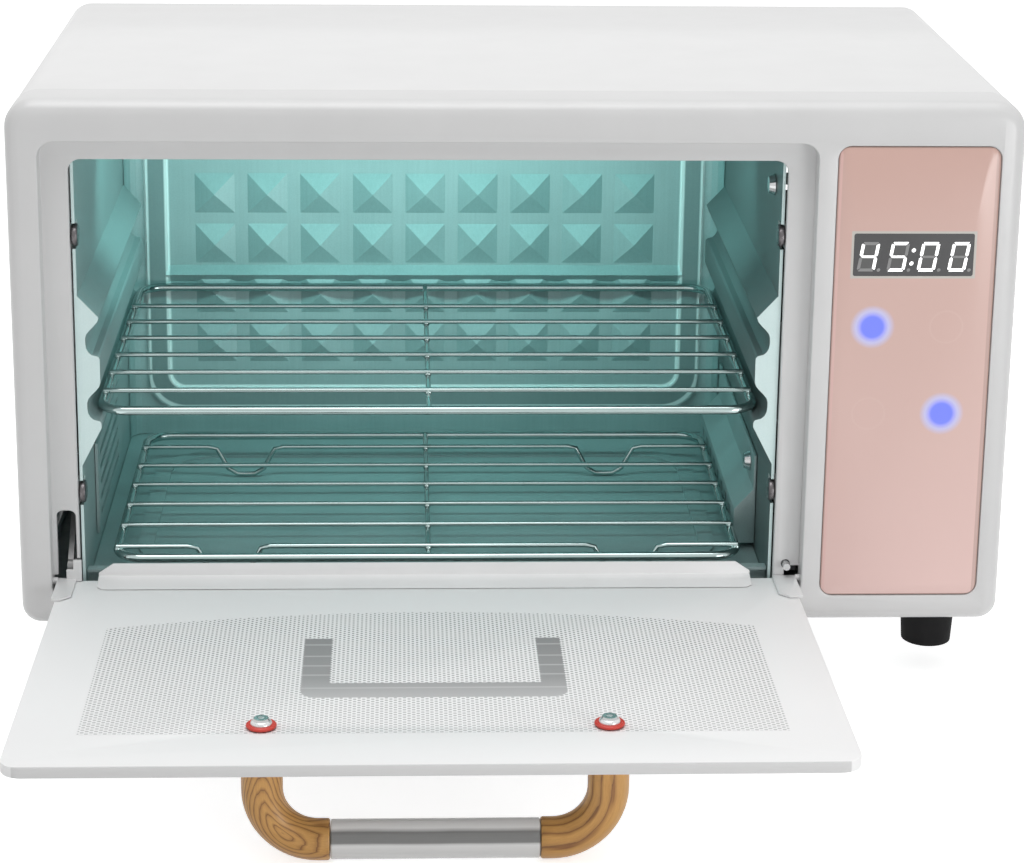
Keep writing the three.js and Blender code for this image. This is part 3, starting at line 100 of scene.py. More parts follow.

# Print on the door, and a clear U-shaped window in the print whose grey is painted shade seen through the
# glass: x across it, and the other way from the hinge axis to the free edge
dot_pitch = (3.3, 1.1)
dot_radius = 0.42
dot_growth = 0.30
dot_soft = 0.16
dots_across = (-160, 92.6)
dots_start = 36
dots_end = 153.2
arch_middle = -33.7
arch_half = 126.3
arch_start = 35.5
arch_drop = 16
band_arms = ((-82.6, -72), (6.2, 15.6))
band_arm_span = (63.2, 114)
band_corner_xs = (-76.6, 9.6)
band_foot = (107.4, 121)
band_corner_place = 115
band_corner_radius = 6
band_scallop = 0.3
window_shade_length = 125
streaks = (69, 80.5, 90, 99, 111.5)
streak_width = 1.1
print_depth = 0.6
glass_rim = 0.75

# Control panel: outlines as left, right, bottom, top
panel = (125.8, 190.1, 12, 200.5)
panel_corner = 5
panel_soft = 1.1
panel_rise = (1.2, 0.6, 0.0)
panel_tone_height = 188
panel_rim = 0.45
# Widths of the painted highlight on the left edge and the painted shade on the right edge
panel_left_highlight = 1.6
panel_right_shade = 1.9
display = (133.2, 181.2, 147.9, 165.4)
display_corner = 0.9
display_rim = 0.95
line_soft = 0.3
key_columns = (142.1, 171.8)
key_rows = (90.4, 126.8)
lit_keys = ((0, 1), (1, 0))
unlit_keys = ((1, 1), (0, 0))
spot_core = 5.4
spot_halo = 7.9
spot_soft = 2.4
spot_ring = (6.2, 6.9)

bezel_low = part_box("front_bezel")[0]


def at(x, y, z):
    """A place in the cabinet's own millimetres as a place in metres."""
    return Vector((x * MM, y * MM + bezel_low.y, z * MM + bezel_low.z))


def on_door(x, s, z):
    """A place on the door: s from the hinge axis to the free edge, z above the glass's plane."""
    c, sn = math.cos(open_tilt), math.sin(open_tilt)
    y0, z0 = -s, z
    return at(x, axis_y + y0 * c - z0 * sn, axis_z + y0 * sn + z0 * c)


door_along = (on_door(0, 1, 0) - on_door(0, 0, 0)).normalized()
door_up = (on_door(0, 0, 1) - on_door(0, 0, 0)).normalized()
across = Vector((1, 0, 0))
cabinet_axes = (across, Vector((0, 1, 0)), Vector((0, 0, 1)))
door_axes = (across, door_along, door_up)


def circle(sides):
    """Cosine and sine of each corner of a regular polygon."""
    angles = [2 * math.pi * k / sides for k in range(sides)]
    return [(math.cos(a), math.sin(a)) for a in angles]


# Camera
def make_camera():
    data = bpy.data.cameras.new("camera")
    cam = bpy.data.objects.new("camera", data)
    bpy.context.scene.collection.objects.link(cam)
    cp, sp = math.cos(camera_pitch), math.sin(camera_pitch)
    forward = Vector((math.sin(camera_yaw) * cp, math.cos(camera_yaw) * cp, -sp))
    right = forward.cross(Vector((0, 0, 1))).normalized()
    up = right.cross(forward)
    cr, sr = math.cos(camera_roll), math.sin(camera_roll)
    rolled_right = right * cr + up * sr
    rolled_up = up * cr - right * sr
    turn = Matrix((rolled_right, rolled_up, -forward)).transposed().to_4x4()
    cam.matrix_world = Matrix.Translation(at(*camera_place)) @ turn
    data.sensor_width = sensor_width
    data.lens = focal_pixels / image_width * sensor_width
    data.shift_y = -(image_height / 2 - principal_row) / image_width
    data.clip_start, data.clip_end = camera_clip
    bpy.context.scene.camera = cam


make_camera()


# Shader parts
def new_material(name):
    m = bpy.data.materials.new(name)
    m.use_nodes = True
    nt = m.node_tree
    nt.nodes.clear()
    out = nt.nodes.new("ShaderNodeOutputMaterial")
    bsdf = nt.nodes.new("ShaderNodeBsdfPrincipled")
    nt.links.new(bsdf.outputs[0], out.inputs[0])
    return m, nt, bsdf


def set_values(bsdf, **values):
    """Plain values of a surface's sockets, with spaces of their names written as underscores."""
    for name, value in values.items():
        bsdf.inputs[name.replace("_", " ")].default_value = value


def coords(nt):
    return nt.nodes.new("ShaderNodeTexCoord").outputs["Object"]


def stretched(nt, vec, scale):
    mapping = nt.nodes.new("ShaderNodeMapping")
    mapping.inputs["Scale"].default_value = scale
    nt.links.new(vec, mapping.inputs["Vector"])
    return mapping.outputs[0]


def noise(nt, vec, scale, detail=3, rough=0.5):
    n = nt.nodes.new("ShaderNodeTexNoise")
    n.inputs["Scale"].default_value = scale
    n.inputs["Detail"].default_value = detail
    n.inputs["Roughness"].default_value = rough
    nt.links.new(vec, n.inputs["Vector"])
    return n.outputs["Fac"]


def ramp(nt, fac, stops):
    r = nt.nodes.new("ShaderNodeValToRGB")
    while len(r.color_ramp.elements) < len(stops):
        r.color_ramp.elements.new(0.5)
    for element, (place, colour) in zip(r.color_ramp.elements, stops):
        element.position = place
        element.color = (*colour, 1)
    nt.links.new(fac, r.inputs[0])
    return r.outputs[0]


def spread(nt, fac, low, high):
    m = nt.nodes.new("ShaderNodeMapRange")
    m.inputs["To Min"].default_value = low
    m.inputs["To Max"].default_value = high
    nt.links.new(fac, m.inputs["Value"])
    return m.outputs[0]


def math_node(nt, op, a, b=None, c=None, clamp=False):
    n = nt.nodes.new("ShaderNodeMath")
    n.operation = op
    n.use_clamp = clamp
    for i, v in enumerate((a, b, c)):
        if v is None:
            continue
        if isinstance(v, (int, float)):
            n.inputs[i].default_value = v
        else:
            nt.links.new(v, n.inputs[i])
    return n.outputs[0]


def joined(nt, op, values):
    """One value from several, by the same operation again and again."""
    total = values[0]
    for v in values[1:]:
        total = math_node(nt, op, total, v)
    return total


def times(nt, *values):
    return joined(nt, "MULTIPLY", values)


def plus(nt, a, b):
    return math_node(nt, "ADD", a, b)


def minus(nt, a, b):
    return math_node(nt, "SUBTRACT", a, b)


def distance(nt, a, b):
    """Length of the slope over two sides at right angles."""
    return math_node(nt, "SQRT", plus(nt, times(nt, a, a), times(nt, b, b)))


def off_middle(nt, value, low, high):
    """Distance from the middle between two limits."""
    return math_node(nt, "ABSOLUTE", minus(nt, value, (low + high) / 2))


def step(nt, value, edge, soft=0.4):
    """0 below the edge and 1 above it, over a soft width."""
    m = nt.nodes.new("ShaderNodeMapRange")
    m.inputs["From Min"].default_value = edge - soft / 2
    m.inputs["From Max"].default_value = edge + soft / 2
    nt.links.new(value, m.inputs["Value"])
    return m.outputs[0]


def below(nt, value, edge, soft=0.4):
    """1 below the edge and 0 above it, over a soft width."""
    return math_node(nt, "SUBTRACT", 1, step(nt, value, edge, soft), clamp=True)


def inside(nt, value, low, high, soft=0.4):
    return math_node(nt, "SUBTRACT", step(nt, value, low, soft), step(nt, value, high, soft), clamp=True)


def mixed(nt, fac, a, b):
    n = nt.nodes.new("ShaderNodeMix")
    n.data_type = "RGBA"
    n.clamp_factor = True
    nt.links.new(fac, n.inputs[0])
    for socket, v in ((n.inputs[6], a), (n.inputs[7], b)):
        if isinstance(v, tuple):
            socket.default_value = (*v, 1)
        else:
            nt.links.new(v, socket)
    return n.outputs[2]


def mixed_partly(nt, fac, share, a, b):
    return mixed(nt, math_node(nt, "MULTIPLY", fac, share), a, b)


def bump(nt, bsdf, height, strength, distance_m=0.0002):
    b = nt.nodes.new("ShaderNodeBump")
    b.inputs["Strength"].default_value = strength
    b.inputs["Distance"].default_value = distance_m
    nt.links.new(height, b.inputs["Height"])
    nt.links.new(b.outputs[0], bsdf.inputs["Normal"])


def oriented_coords(nt, place, axes):
    """Coordinates in millimetres from a place, along three given directions."""
    shifted = nt.nodes.new("ShaderNodeVectorMath")
    shifted.operation = "SUBTRACT"
    nt.links.new(coords(nt), shifted.inputs[0])
    shifted.inputs[1].default_value = place
    found = []
    for axis in axes:
        dot = nt.nodes.new("ShaderNodeVectorMath")
        dot.operation = "DOT_PRODUCT"
        nt.links.new(shifted.outputs[0], dot.inputs[0])
        dot.inputs[1].default_value = [c / MM for c in axis]
        found.append(dot.outputs["Value"])
    return found


def seen_past_light(nt):
    """1 for what is seen straight, in a mirror or through glass, and 0 for what only lights."""
    path = nt.nodes.new("ShaderNodeLightPath")
    kinds = ("Is Camera Ray", "Is Glossy Ray", "Is Transmission Ray")
    return joined(nt, "MAXIMUM", [path.outputs[kind] for kind in kinds])


def grey(value):
    return (value, value, value)


# Materials
def plain(name, colour, rough, metal=0.0, vary=0.04, grain=40, peel=0.05, peel_scale=900, coat=0.0, ior=1.5):
    """A moulded, painted or plated surface with slight tone, sheen and texture changes."""
    m, nt, bsdf = new_material(name)
    vec = coords(nt)
    low = tuple(c * (1 - vary) for c in colour)
    high = tuple(min(1.0, c * (1 + vary)) for c in colour)
    tone = ramp(nt, noise(nt, vec, grain), [(0.3, low), (0.7, high)])
    nt.links.new(tone, bsdf.inputs["Base Color"])
    sheen = spread(nt, noise(nt, vec, grain * 3), rough * 0.85, min(1.0, rough * 1.15))
    nt.links.new(sheen, bsdf.inputs["Roughness"])
    set_values(bsdf, Metallic=metal, IOR=ior, Coat_Weight=coat, Coat_Roughness=0.08)
    if peel:
        bump(nt, bsdf, noise(nt, vec, peel_scale, 2), peel)
    return m


def chamber_metal(name, low, high, metal):
    """Coated sheet: fine grain, soft clouds and faint vertical rolling lines."""
    m, nt, bsdf = new_material(name)
    vec = coords(nt)
    lines = noise(nt, stretched(nt, vec, (900, 900, 14)), 1, 2)
    cloud = noise(nt, vec, 22, 5, 0.6)
    grain = noise(nt, vec, 1600, 2)
    fac = math_node(nt, "MULTIPLY_ADD", cloud, 0.5, math_node(nt, "MULTIPLY", lines, 0.2))
    fac = math_node(nt, "MULTIPLY_ADD", grain, 0.3, fac, clamp=True)
    nt.links.new(ramp(nt, fac, [(0.32, low), (0.68, high)]), bsdf.inputs["Base Color"])
    nt.links.new(spread(nt, fac, 0.36, 0.56), bsdf.inputs["Roughness"])
    set_values(bsdf, Metallic=metal)
    bump(nt, bsdf, grain, 0.06)
    return m


def back_wall_material(name, low, high, metal):
    """Coated sheet whose pressed bead gets a painted highlight line along each of its two bends and painted
    shade on the bead between them.
    """
    m = chamber_metal(name, low, high, metal)
    nt = m.node_tree
    bsdf = next(n for n in nt.nodes if n.type == "BSDF_PRINCIPLED")
    base = bsdf.inputs["Base Color"].links[0].from_socket
    x, _, z = oriented_coords(nt, at(0, 0, 0), cabinet_axes)
    left, right, bottom, top = bead_outline
    far = []
    for value, a, b in ((x, left, right), (z, bottom, top)):
        far.append(minus(nt, off_middle(nt, value, a, b), (b - a) / 2 - bead_corner))
    round_part = distance(nt, *[math_node(nt, "MAXIMUM", f, 0) for f in far])
    flat_part = math_node(nt, "MINIMUM", math_node(nt, "MAXIMUM", far[0], far[1]), 0)
    depth = minus(nt, bead_corner, plus(nt, round_part, flat_part))
    # Painted highlight: a bright line along each bend of the bead; painted shade: the bead's middle darkened
    # between the lines.
    line_out, line_in = bead_highlight_band
    outer = inside(nt, depth, line_out, line_in, bead_soft)
    inner = inside(nt, depth, bead_width - line_in, bead_width - line_out, bead_soft)
    between = inside(nt, depth, bead_shade_inset, bead_width - bead_shade_inset, bead_soft)
    shaded = mixed_partly(nt, between, 0.55, base, tuple(c * 0.5 for c in low))
    lit = mixed(nt, math_node(nt, "MAXIMUM", outer, inner), shaded, (0.84, 0.96, 0.95))
    nt.links.new(lit, bsdf.inputs["Base Color"])
    return m


def chrome(name, tint, rough=0.08, streak=0.1):
    m, nt, bsdf = new_material(name)
    vec = coords(nt)
    dark = tuple(c * (1 - streak) for c in tint)
    tone = ramp(nt, noise(nt, vec, 55, 4), [(0.35, dark), (0.65, tint)])
    nt.links.new(tone, bsdf.inputs["Base Color"])
    nt.links.new(spread(nt, noise(nt, vec, 300), rough * 0.7, rough * 1.5), bsdf.inputs["Roughness"])
    set_values(bsdf, Metallic=1)
    return m


def dot_field(nt, x, s, share):
    """Staggered dots that grow towards the free edge, below an arch and between two sides."""
    pitch_x, pitch_s = dot_pitch
    row = math_node(nt, "MULTIPLY", s, 1 / pitch_s)
    odd = math_node(nt, "FLOORED_MODULO", math_node(nt, "FLOOR", row), 2)
    stagger = math_node(nt, "MULTIPLY", odd, 0.5)
    column = plus(nt, math_node(nt, "MULTIPLY", x, 1 / pitch_x), stagger)
    from_middle = []
    for value, pitch in ((column, pitch_x), (row, pitch_s)):
        part = minus(nt, math_node(nt, "FRACT", value), 0.5)
        from_middle.append(math_node(nt, "MULTIPLY", part, pitch))
    radius = math_node(nt, "MULTIPLY_ADD", share, dot_growth, dot_radius)
    dot = below(nt, minus(nt, distance(nt, *from_middle), radius), 0, dot_soft)
    arch_x = math_node(nt, "DIVIDE", minus(nt, x, arch_middle), arch_half)
    arch = math_node(nt, "MULTIPLY_ADD", times(nt, arch_x, arch_x), arch_drop, arch_start)
    start = step(nt, minus(nt, s, arch), 0, 1)
    return times(nt, dot, start, inside(nt, x, *dots_across, 0.5), below(nt, s, dots_end, 0.5))


def u_band(nt, x, s):
    """A wide U with two scalloped arms, a straight foot and round corners."""
    wave = math_node(nt, "SINE", math_node(nt, "MULTIPLY", s, math.pi / dot_pitch[1]))
    ragged = plus(nt, x, math_node(nt, "MULTIPLY", wave, band_scallop))
    arms = math_node(nt, "ADD", *[inside(nt, ragged, *arm) for arm in band_arms], clamp=True)
    arms = times(nt, arms, inside(nt, s, *band_arm_span))
    foot = times(nt, inside(nt, x, *band_corner_xs, 1), inside(nt, s, *band_foot))
    band = math_node(nt, "MAXIMUM", arms, foot)
    for corner_x in band_corner_xs:
        far = distance(nt, minus(nt, x, corner_x), minus(nt, s, band_corner_place))
        band = math_node(nt, "MAXIMUM", band, below(nt, far, band_corner_radius))
    return band


def door_material():
    """White back-painted glass with a field of fine grey dots and a clear U-shaped window in the print,
    painted grey as the shade seen through it.
    """
    m, nt, bsdf = new_material("white_glass")
    x, s, z = oriented_coords(nt, on_door(0, 0, 0), door_axes)
    set_values(bsdf, Roughness=0.5, Specular_IOR_Level=0.1)
    share = math_node(nt, "DIVIDE", minus(nt, s, dots_start), dots_end - dots_start, clamp=True)
    front = step(nt, z, glass_top - print_depth, 0.1)
    field = times(nt, dot_field(nt, x, s, share), front)
    band = times(nt, u_band(nt, x, s), front)
    white = ramp(nt, noise(nt, coords(nt), 9, 2), [(0.3, grey(0.92)), (0.7, grey(0.94))])
    dot_tone = ramp(nt, share, [(0.0, grey(0.16)), (0.5, grey(0.44)), (1.0, grey(0.60))])
    tones = [(0.5, (0.31, 0.31, 0.312)), (0.82, (0.37, 0.37, 0.372)), (0.96, (0.52, 0.52, 0.522))]
    # Painted shade in the window: darker towards the hinge, paler towards the free edge, with lighter lines
    # at given distances from the hinge.
    window_shade_tone = ramp(nt, math_node(nt, "DIVIDE", s, window_shade_length), tones)
    lines = [inside(nt, s, place, place + streak_width, 0.5) for place in streaks]
    window_shade_tone = mixed_partly(nt, joined(nt, "MAXIMUM", lines), 0.7, window_shade_tone, grey(0.62))
    face = mixed(nt, band, mixed(nt, field, white, dot_tone), window_shade_tone)
    edge = step(nt, s, glass_reach - glass_rim, 0.2)
    nt.links.new(mixed(nt, edge, face, grey(0.70)), bsdf.inputs["Base Color"])
    return m


wood_dark = (0.17, 0.060, 0.010)
wood_tones = [(0.0, wood_dark), (0.12, (0.36, 0.158, 0.034)), (0.34, (0.60, 0.315, 0.084)),
              (0.72, (0.55, 0.275, 0.068)), (0.93, (0.34, 0.143, 0.030)), (1.0, wood_dark)]
fibre_tones = [(0.35, (0.48, 0.24, 0.056)), (0.65, (0.66, 0.365, 0.104))]
wood_squeeze = 0.12
wood_wander = 4.2
wood_ripple = 0.25


def wood_material(name, side, centre, slope, spacing, shift):
    """Oiled wood whose growth rings run along the bent piece and come out as long nested lines."""
    m, nt, bsdf = new_material(name)
    bend_x = handle_x + side * ((handle_xs[1] - handle_xs[0]) / 2 - elbow_bend)
    origin = on_door(bend_x, handle_reach, handle_z + elbow_bend)
    x, depth, z = oriented_coords(nt, origin, (Vector((side, 0, 0)), door_along, door_up))
    out_x = math_node(nt, "MAXIMUM", x, 0)
    out_z = math_node(nt, "MAXIMUM", math_node(nt, "MULTIPLY", z, -1), 0)
    outward = minus(nt, distance(nt, out_x, out_z), elbow_bend)
    turn = math_node(nt, "MULTIPLY", math_node(nt, "ARCTAN2", out_z, out_x), -elbow_bend)
    run = plus(nt, turn, math_node(nt, "MAXIMUM", z, 0))
    run = plus(nt, run, math_node(nt, "MINIMUM", x, 0))
    combine = nt.nodes.new("ShaderNodeCombineXYZ")
    for i, part in enumerate((outward, depth, math_node(nt, "MULTIPLY", run, wood_squeeze))):
        nt.links.new(part, combine.inputs[i])
    vec = combine.outputs[0]
    wander = math_node(nt, "MULTIPLY", minus(nt, noise(nt, vec, 0.22, 2), 0.5), wood_wander)
    sideways = plus(nt, minus(nt, outward, centre), wander)
    rise = plus(nt, minus(nt, depth, shift), math_node(nt, "MULTIPLY", run, -slope))
    ring = math_node(nt, "MULTIPLY", distance(nt, sideways, rise), 1 / spacing)
    ripple = math_node(nt, "MULTIPLY", noise(nt, vec, 0.9, 4), wood_ripple)
    line = math_node(nt, "FRACT", plus(nt, ring, ripple))
    fibre = noise(nt, vec, 2.2, 5, 0.7)
    tone = ramp(nt, line, wood_tones)
    shade = ramp(nt, fibre, fibre_tones)
    tone = mixed_partly(nt, step(nt, line, 0.2, 0.3), 0.45, tone, shade)
    nt.links.new(tone, bsdf.inputs["Base Color"])
    nt.links.new(spread(nt, fibre, 0.36, 0.52), bsdf.inputs["Roughness"])
    set_values(bsdf, Coat_Weight=0.2, Coat_Roughness=0.25)
    bump(nt, bsdf, line, 0.08, 0.0003)
    return m


# Painted reflection on the bar: lower and upper heights of the dark streak, and its soft edge.
bar_reflection_band = (0.9, 5.4)
bar_reflection_soft = 1.1


def bar_painted_reflection_chrome():
    """Polished tube with a painted reflection: a long dark streak along its outer side, a light upper part
    and a darker lower part.
    """
    m, nt, bsdf = new_material("bar_painted_reflection_chrome")
    _, depth, z = oriented_coords(nt, on_door(handle_x, handle_reach, handle_z), door_axes)
    vec = coords(nt)
    wobble = math_node(nt, "MULTIPLY", minus(nt, noise(nt, vec, 30, 2), 0.5), 0.5)
    height = plus(nt, z, wobble)
    band = times(nt, inside(nt, height, *bar_reflection_band, bar_reflection_soft), step(nt, depth, 0, 0.5))
    # Painted reflection: light above the streak, darker below it, and the dark streak along the outer side.
    low = below(nt, height, bar_reflection_band[0], 0.8)
    tone = mixed(nt, low, (0.95, 0.95, 0.945), (0.68, 0.68, 0.675))
    tone = mixed(nt, band, tone, (0.20, 0.20, 0.195))
    lines = noise(nt, stretched(nt, vec, (8, 2500, 2500)), 1, 2)
    tone = mixed_partly(nt, lines, 0.18, tone, grey(0.42))
    nt.links.new(tone, bsdf.inputs["Base Color"])
    nt.links.new(spread(nt, lines, 0.14, 0.26), bsdf.inputs["Roughness"])
    set_values(bsdf, Metallic=0.25)
    return m


rose_tones = [(0.0, (0.81, 0.57, 0.53)), (0.55, (0.69, 0.47, 0.42)), (1.0, (0.63, 0.41, 0.355))]


def far_from_key(nt, x, z, key):
    column, row = key
    return distance(nt, minus(nt, x, key_columns[column]), minus(nt, z, key_rows[row]))


def panel_material():
    """Glossy rose panel, paler to its foot, with two lit touch spots and two faint unlit ones, a painted
    highlight along its left edge and painted shade along its right edge.
    """
    m, nt, bsdf = new_material("panel_pink")
    x, _, z = oriented_coords(nt, at(0, 0, 0), cabinet_axes)
    left, right, bottom, top = panel
    height = math_node(nt, "DIVIDE", minus(nt, z, bottom), panel_tone_height)
    wobble = math_node(nt, "MULTIPLY_ADD", noise(nt, coords(nt), 12, 3), 0.06, minus(nt, height, 0.03))
    pink = ramp(nt, wobble, rose_tones)
    lit = [far_from_key(nt, x, z, key) for key in lit_keys]
    unlit = [far_from_key(nt, x, z, key) for key in unlit_keys]
    glow = joined(nt, "ADD", [below(nt, far, spot_core, spot_soft) for far in lit])
    halo = joined(nt, "ADD", [below(nt, far, spot_halo, spot_soft) for far in lit])
    faint = joined(nt, "ADD", [inside(nt, far, *spot_ring) for far in unlit])
    base = mixed_partly(nt, faint, 0.14, pink, (0.80, 0.62, 0.56))
    frame_mark = times(nt, inside(nt, x, display[0] - display_rim, display[1] + display_rim, line_soft),
                       inside(nt, z, display[2] - display_rim, display[3] + display_rim, line_soft))
    base = mixed(nt, frame_mark, base, (0.56, 0.53, 0.49))
    # Painted highlight along the left edge and painted shade along the right edge, where light and shade
    # fall on the panel's soft edges.
    left_highlight = below(nt, x, left + panel_left_highlight, line_soft)
    base = mixed_partly(nt, left_highlight, 0.6, base, (0.78, 0.50, 0.47))
    right_shade = step(nt, x, right - panel_right_shade, line_soft)
    base = mixed_partly(nt, right_shade, 0.6, base, (0.50, 0.33, 0.29))
    rims = []
    for value, low, high in ((x, left, right), (z, bottom, top)):
        far = off_middle(nt, value, low, high)
        rims.append(step(nt, far, (high - low) / 2 - panel_rim, line_soft))
    base = mixed(nt, joined(nt, "MAXIMUM", rims), base, (0.44, 0.29, 0.25))
    base = mixed(nt, halo, base, (0.60, 0.58, 0.84))
    nt.links.new(mixed(nt, glow, base, (0.10, 0.12, 0.50)), bsdf.inputs["Base Color"])
    colour = mixed(nt, glow, (0.30, 0.30, 0.75), (0.13, 0.19, 1.0))
    nt.links.new(colour, bsdf.inputs["Emission Color"])
    strength = math_node(nt, "MULTIPLY_ADD", halo, 0.08, math_node(nt, "MULTIPLY", glow, 0.55))
    nt.links.new(strength, bsdf.inputs["Emission Strength"])
    set_values(bsdf, Roughness=0.24, Coat_Weight=0.25, Coat_Roughness=0.08)
    return m


def glowing(name, colour, strength):
    m, nt, bsdf = new_material(name)
    dim = tuple(c * 0.93 for c in colour)
    tone = ramp(nt, noise(nt, coords(nt), 500), [(0.3, dim), (0.7, colour)])
    nt.links.new(tone, bsdf.inputs["Base Color"])
    nt.links.new(tone, bsdf.inputs["Emission Color"])
    set_values(bsdf, Emission_Strength=strength, Roughness=0.3)
    return m


materials = {
    "bezel_white": plain("bezel_white", grey(0.67), 0.34, vary=0.015, peel=0.03, coat=0.15),
    "cover_white": plain("cover_white", grey(0.76), 0.32, vary=0.012, peel=0.05, peel_scale=700, coat=0.1),
    # The chamber steels' teal colours, here and in the chamber copies below, are partly painted light: grey
    # steel with the teal cast of the chamber lamp put into its colour.
    "chamber_steel": chamber_metal("chamber_steel", (0.32, 0.42, 0.42), (0.41, 0.52, 0.518), 0.4),
    "plated_steel": plain("plated_steel", (0.55, 0.56, 0.56), 0.35, 0.9, vary=0.12, grain=120),
    "chrome": chrome("chrome", (0.58, 0.59, 0.59), 0.1),
    "white_glass": door_material(),
    "panel_pink": panel_material(),
    "display_black": plain("display_black", (0.038, 0.038, 0.040), 0.3, vary=0.12, coat=0.2, peel=0),
    "dark_plastic": plain("dark_plastic", (0.04, 0.042, 0.045), 0.55, vary=0.15),
    "circuit_green": plain("circuit_green", (0.03, 0.16, 0.08), 0.45, vary=0.3, grain=260),
    "light_guide": plain("light_guide", (0.45, 0.40, 0.70), 0.25, vary=0.05),
    "aluminium": plain("aluminium", (0.62, 0.63, 0.64), 0.32, 0.9, vary=0.08),
    "lamp_quartz": glowing("lamp_quartz", (0.62, 0.92, 1.0), 0.6),
    "socket_ceramic": plain("socket_ceramic", (0.80, 0.79, 0.76), 0.5, vary=0.04),
    "foot_rubber": plain("foot_rubber", (0.013, 0.013, 0.0135), 0.75, vary=0.25, peel=0.3,
                         peel_scale=1500, ior=1.25),
    "washer_red": plain("washer_red", (0.62, 0.05, 0.035), 0.4, vary=0.12),
    "handle_wood": wood_material("handle_wood", -1, -1.0, 0.30, 1.5, 12.5),
}
wood_right = wood_material("handle_wood_right", 1, -9.0, 0.03, 3.1, -4.0)
tube_painted_reflection_chrome = bar_painted_reflection_chrome()
# A darker copy of the chamber steel: painted shade on the right wall.
shaded_metal = chamber_metal("chamber_shaded", (0.145, 0.185, 0.185), (0.185, 0.235, 0.233), 0.45)
screw_chrome = plain("screw_chrome", (0.74, 0.76, 0.76), 0.28, 0.6, vary=0.08, grain=200, peel=0)
rail_white = plain("rail_white", grey(0.84), 0.35, vary=0.02, peel=0.03)
# Chrome tinted teal: painted reflection of the chamber's teal light on the rack wires.
rack_teal_reflection_chrome = chrome("rack_teal_reflection_chrome", (0.45, 0.55, 0.54), 0.1)
screw_dark = plain("screw_dark", (0.15, 0.14, 0.145), 0.28, 0.7, vary=0.15, grain=200, peel=0)
link_grey = plain("link_grey", grey(0.30), 0.4, 0.3, vary=0.1)
# A paler copy of the chamber steel: painted highlight on the front-facing ends of the chamber walls.
painted_highlight_ends = chamber_metal("chamber_painted_highlight", (0.66, 0.83, 0.82), (0.74, 0.90, 0.89), 0.0)
back_metal = back_wall_material("chamber_back", (0.31, 0.435, 0.435), (0.42, 0.56, 0.558), 0.35)
digit_light = glowing("digit_light", grey(1.0), 1.2)
digit_ghost = plain("digit_ghost", grey(0.25), 0.4, vary=0.1, peel=0)
digit_shade = plain("digit_shade", grey(0.085), 0.4, vary=0.1, peel=0)


# Making pieces
merge_distance = 1e-6
flat_angle = 0.6
least_bevel_angle = 20
front_facing = -0.95


def link_object(obj, body, replaces=()):
    bpy.context.scene.collection.objects.link(obj)
    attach(obj, body)
    if replaces:
        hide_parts(*replaces)
        made.update(replaces)


def smooth(mesh, degrees):
    """Smooth shading, with edges kept sharp where faces meet at more than the given angle."""
    for p in mesh.polygons:
        p.use_smooth = True
    bm = bmesh.new()
    bm.from_mesh(mesh)
    limit = math.radians(degrees)
    for e in bm.edges:
        e.smooth = len(e.link_faces) == 2 and e.calc_face_angle(0) < limit
    bm.to_mesh(mesh)
    bm.free()


def dress(node, material, passes=(), degrees=35, merge=True, ends=None):
    """A piece with the node's own shape, its edges softened, that stands for the node."""
    mesh = nodes[node].data.copy()
    bm = bmesh.new()
    bm.from_mesh(mesh)
    bmesh.ops.remove_doubles(bm, verts=bm.verts, dist=merge_distance)
    if merge:
        bmesh.ops.dissolve_limit(bm, angle_limit=math.radians(flat_angle), verts=bm.verts, edges=bm.edges)
    limit = math.radians(max(degrees, least_bevel_angle))
    for width, segments, chosen in passes:
        edges = [e for e in bm.edges if len(e.link_faces) == 2 and e.calc_face_angle(0) > limit]
        if chosen:
            edges = [e for e in edges if chosen(e)]
        bmesh.ops.bevel(bm, geom=edges, offset=width * MM, segments=segments, profile=0.5, affect="EDGES",
                        clamp_overlap=True)
    bm.to_mesh(mesh)
    bm.free()
    smooth(mesh, degrees)
    mesh.materials.clear()
    mesh.materials.append(material)
    # Faces that face the front take the second material, which the chamber walls use as a painted highlight.
    if ends:
        mesh.materials.append(ends)
        for p in mesh.polygons:
            p.material_index = 1 if p.normal.y < front_facing else 0
    obj = bpy.data.objects.new(node + "_skin", mesh)
    link_object(obj, node_body[node], (node,))


def from_bmesh(bm, name, material, degrees=35):
    mesh = bpy.data.meshes.new(name)
    bm.normal_update()
    bm.to_mesh(mesh)
    bm.free()
    smooth(mesh, degrees)
    mesh.materials.append(material)
    return bpy.data.objects.new(name, mesh)


def square_to(direction):
    """A direction at right angles to the given one."""
    guide = Vector((0, 0, 1)) if abs(direction.z) < 0.9 else Vector((0, 1, 0))
    return direction.cross(guide).normalized()


def bridge(bm, a, b):
    """Faces between two rings of the same count, or between a ring and a single point."""
    count = max(len(a), len(b))
    for k in range(count):
        n = (k + 1) % count
        if len(a) == 1:
            bm.faces.new((a[0], b[n], b[k]))
        elif len(b) == 1:
            bm.faces.new((a[k], a[n], b[0]))
        else:
            bm.faces.new((a[k], a[n], b[n], b[k]))


def sweep(bm, points, radius, sides, closed=False):
    """A round tube along points in metres; radius in millimetres, or one for each point."""
    count = len(points)
    radii = radius if isinstance(radius, (list, tuple)) else [radius] * count
    rings = []
    normal = None
    for i, p in enumerate(points):
        before = points[(i - 1) % count] if closed or i else p
        after = points[(i + 1) % count] if closed or i < count - 1 else p
        tangent = (after - before).normalized()
        if normal is None:
            normal = square_to(tangent)
        normal = (normal - tangent * normal.dot(tangent)).normalized()
        side = tangent.cross(normal)
        rings.append([bm.verts.new(p + (normal * c + side * s) * radii[i] * MM) for c, s in circle(sides)])
    spans = count if closed else count - 1
    for i in range(spans):
        bridge(bm, rings[i], rings[(i + 1) % count])
    if not closed:
        bm.faces.new(list(reversed(rings[0])))
        bm.faces.new(rings[-1])
    bmesh.ops.recalc_face_normals(bm, faces=bm.faces)


